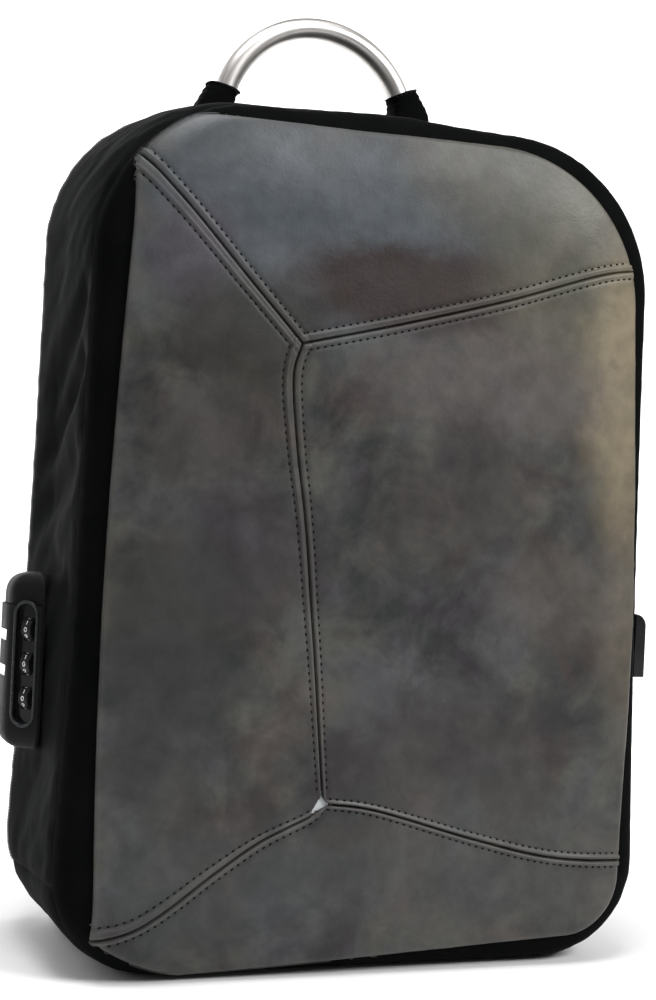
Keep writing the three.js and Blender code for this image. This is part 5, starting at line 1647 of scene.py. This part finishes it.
# Shoulder straps, webbing and adjusters
STRAP_WIDTH = 0.062
STRAP_THICK = 0.012
STRAP_STAND = 0.046
STRAP_SPREAD = 0.045
STRAP_TOP = 0.424
WEBBING_WIDTH = 0.025
WEBBING_THICK = 0.0016
ADJUSTER_BAR = 0.0034
ADJUSTER_THICK = 0.005
ADJUSTER_HEIGHT = 0.021
STRAP_ROWS = [
    (0, 0, 1, 0.8, 0.6), (0.02, 0.42, 1.03, 0.9, 1), (0.06, 0.72, 1.1, 1, 1), (0.14, 0.92, 1.25, 1, 1),
    (0.26, 1, 1.5, 1, 1), (0.38, 0.96, 1.78, 0.97, 1), (0.5, 0.84, 2.06, 0.85, 1), (0.57, 0.75, 2.2, 0.62, 0.7),
]
WEBBING_ROWS = [
    (0.607, 0.71, 2.26, 1, 1), (0.7, 0.5, 2.46, 1, 1), (0.8, 0.24, 2.66, 1, 1), (0.86, 0.06, 2.78, 1, 1),
    (0.885, 0, 2.83, 1, 1),
]


def strap_frames(side, rows, thickness, step):
    """Places along a strap with its width and thickness there, and the ways along it and outwards."""
    route = np.array([
        (
            side * STRAP_SPREAD * spread,
            BACK + GAP + thickness * thick / 2 + STRAP_STAND * stand,
            STRAP_TOP * (1 - drop),
            width,
            thick,
        )
        for drop, stand, spread, width, thick in rows
    ])
    dense = spline(route, step)
    down = np.gradient(dense[:, :3], axis=0)
    down[:, 0] = 0
    down = unit_rows(down)
    out = np.stack([np.zeros(len(down)), -down[:, 2], down[:, 1]], -1)
    return dense[:, :3], dense[:, 3], dense[:, 4], down, out


def strap(word, side):
    """A padded strap: a soft crowned core with a taped edge and a stitched line inside it."""
    places, widths, thicks, downs, outs = strap_frames(side, STRAP_ROWS, STRAP_THICK, 0.004)
    sides = 72
    turn = 2 * np.pi * (np.arange(sides) + 0.5) / sides
    a = np.sign(np.cos(turn)) * np.abs(np.cos(turn)) ** (2 / 2.6)
    b = np.sign(np.sin(turn)) * np.abs(np.sin(turn)) ** (2 / 2.6)
    line = 0.62 + 0.38 * (1 - np.exp(-(((np.abs(a) - 0.84) / 0.035) ** 2)))
    pinch = np.where(np.abs(a) > 0.84, mix(0.62, 0.3, np.clip((np.abs(a) - 0.84) / 0.16, 0, 1)), line)
    rings = []
    for place, width, thick, out in zip(places, widths, thicks, outs):
        flat = a[:, None] * np.array([1, 0, 0]) * STRAP_WIDTH * width / 2
        rings.append(place + flat + (b * pinch)[:, None] * out * STRAP_THICK * thick / 2)
    rings = np.array(rings)
    rings += 0.0005 * cloud(rings, 60, 2, 4.0 + side)[..., None] * outs[:, None, :]
    piece = lofted("strap_" + word, rings, MESH_CLOTH, ["shoulder_strap_" + word])
    for edge in (-1, 1):
        path = places + np.array([1, 0, 0]) * edge * (STRAP_WIDTH * widths / 2)[:, None]
        binding = swept(path, 0.0019, 14, 1.1, outs)
        lofted("strap_binding_%s_%s" % (word, "inner" if edge * side < 0 else "outer"), binding, WEBBING)
        row = places + np.array([1, 0, 0]) * edge * (0.84 * STRAP_WIDTH * widths / 2)[:, None]
        row = row + outs * (0.36 * STRAP_THICK * thicks / 2)[:, None]
        name = "strap_stitches_%s_%s" % (word, "inner" if edge * side < 0 else "outer")
        stitch_row(name, row[3:-3], outs[3:-3], 0.004, 0.0002)


def webbing(word, side):
    places, widths, thicks, downs, outs = strap_frames(side, WEBBING_ROWS, WEBBING_THICK, 0.002)
    rings = [
        rounded_ring(place, (1, 0, 0), out, WEBBING_WIDTH, WEBBING_THICK, 40, 5) for place, out in zip(places, outs)
    ]
    lofted("webbing_" + word, rings, WEBBING, ["strap_webbing_" + word])


def adjuster(word, side):
    places, widths, thicks, downs, outs = strap_frames(side, WEBBING_ROWS, WEBBING_THICK, 0.002)
    first, second = (
        np.array([
            side * STRAP_SPREAD * row[2], BACK + GAP + WEBBING_THICK / 2 + STRAP_STAND * row[1], STRAP_TOP * (1 - row[0])
        ])
        for row in WEBBING_ROWS[:2]
    )
    up = unit(first - second)
    out = unit(np.array([0, up[2], -up[1]]))
    across = np.cross(out, up)
    middle = first + up * (ADJUSTER_HEIGHT / 4 - ADJUSTER_BAR)
    width = WEBBING_WIDTH + 4 * GAP
    half = (ADJUSTER_HEIGHT - ADJUSTER_BAR) / 2
    thin = (ADJUSTER_THICK - WEBBING_THICK) / 2 - GAP
    rail_offset = (WEBBING_THICK + ADJUSTER_THICK) / 4
    for name, place, size in (
        ("rail_a", (-(width + ADJUSTER_BAR) / 2, 0, 0), (ADJUSTER_BAR, ADJUSTER_THICK, ADJUSTER_HEIGHT)),
        ("rail_b", ((width + ADJUSTER_BAR) / 2, 0, 0), (ADJUSTER_BAR, ADJUSTER_THICK, ADJUSTER_HEIGHT)),
        ("bar_top", (0, 0, half), (width + 0.002, ADJUSTER_THICK, ADJUSTER_BAR)),
        ("bar_middle", (0, rail_offset, ADJUSTER_HEIGHT / 24), (width + 0.002, thin, ADJUSTER_BAR)),
        ("bar_low", (0, (thin + WEBBING_THICK) / 2 + GAP, -half), (width + 0.002, thin, ADJUSTER_BAR)),
    ):
        centre = middle + across * place[0] + out * place[1] + up * place[2]
        rings = []
        for share in (-0.5, -0.46, 0.46, 0.5):
            less = 0.0005 if abs(share) == 0.5 else 0
            at = centre + up * size[2] * share
            rings.append(rounded_ring(at, across, out, size[0] - less, size[1] - less, 32, 6))
        lofted("adjuster_%s_%s" % (name, word), rings, PLASTIC, sharp=40)
    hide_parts("strap_adjuster_" + word)


for strap_word, strap_side in (("left", -1), ("right", 1)):
    strap(strap_word, strap_side)
    webbing(strap_word, strap_side)
    adjuster(strap_word, strap_side)


def hang_on_frame():
    """Floor, lights and world."""
    floor_size = 4.0
    data = bpy.data.meshes.new("floor")
    rows = [(-2.0, 0), (1.2, 0)]
    for i in range(1, 17):
        turn = math.pi / 2 * i / 16
        rows.append((1.2 + 0.6 * math.sin(turn), 0.6 - 0.6 * math.cos(turn)))
    rows.append((1.8, 3.0))
    points = [(x, y, z) for y, z in rows for x in (-floor_size, floor_size)]
    faces = [(2 * i, 2 * i + 1, 2 * i + 3, 2 * i + 2) for i in range(len(rows) - 1)]
    data.from_pydata(points, [], faces)
    data.polygons.foreach_set("use_smooth", [True] * len(faces))
    floor = bpy.data.objects.new("floor", data)
    scene.collection.objects.link(floor)
    material, tree, shader, place = new_material("pale floor", Roughness=0.9)
    tree.links.new(ramp(tree, noise_node(tree, place, 3), [(0.3, 0.88), (0.7, 0.91)]), shader.inputs["Base Color"])
    data.materials.append(material)
    world = bpy.data.worlds.new("studio")
    world.use_nodes = True
    world.node_tree.nodes["Background"].inputs["Color"].default_value = (1, 1, 1, 1)
    world.node_tree.nodes["Background"].inputs["Strength"].default_value = 0.16
    scene.world = world
    for name, place, power, size in (
        ("key", (1.2, -1.5, 1.5), 44, 0.9),
        ("top", (-0.3, -0.4, 1.9), 24, 0.8),
        ("left", (-1.6, -0.6, 0.9), 1.4, 0.6),
    ):
        light = bpy.data.lights.new(name, "AREA")
        light.energy = power
        light.size = size
        lamp = bpy.data.objects.new(name, light)
        lamp.location = place
        lamp.rotation_euler = (Vector((0, 0, 0.25)) - Vector(place)).to_track_quat("-Z", "Y").to_euler()
        scene.collection.objects.link(lamp)
    for side in (-1, 1):
        light = bpy.data.lights.new("backdrop light", "AREA")
        light.energy = 18
        light.size = 0.8
        lamp = bpy.data.objects.new("backdrop light", light)
        lamp.location = (0.9 * side, 0.55, 0.9)
        lamp.rotation_euler = (Vector((0.5 * side, 1.6, 0.3)) - lamp.location).to_track_quat("-Z", "Y").to_euler()
        scene.collection.objects.link(lamp)


hang_on_frame()
scene.view_settings.view_transform = "Standard"

SHEETS.pop("back_pad")[0]
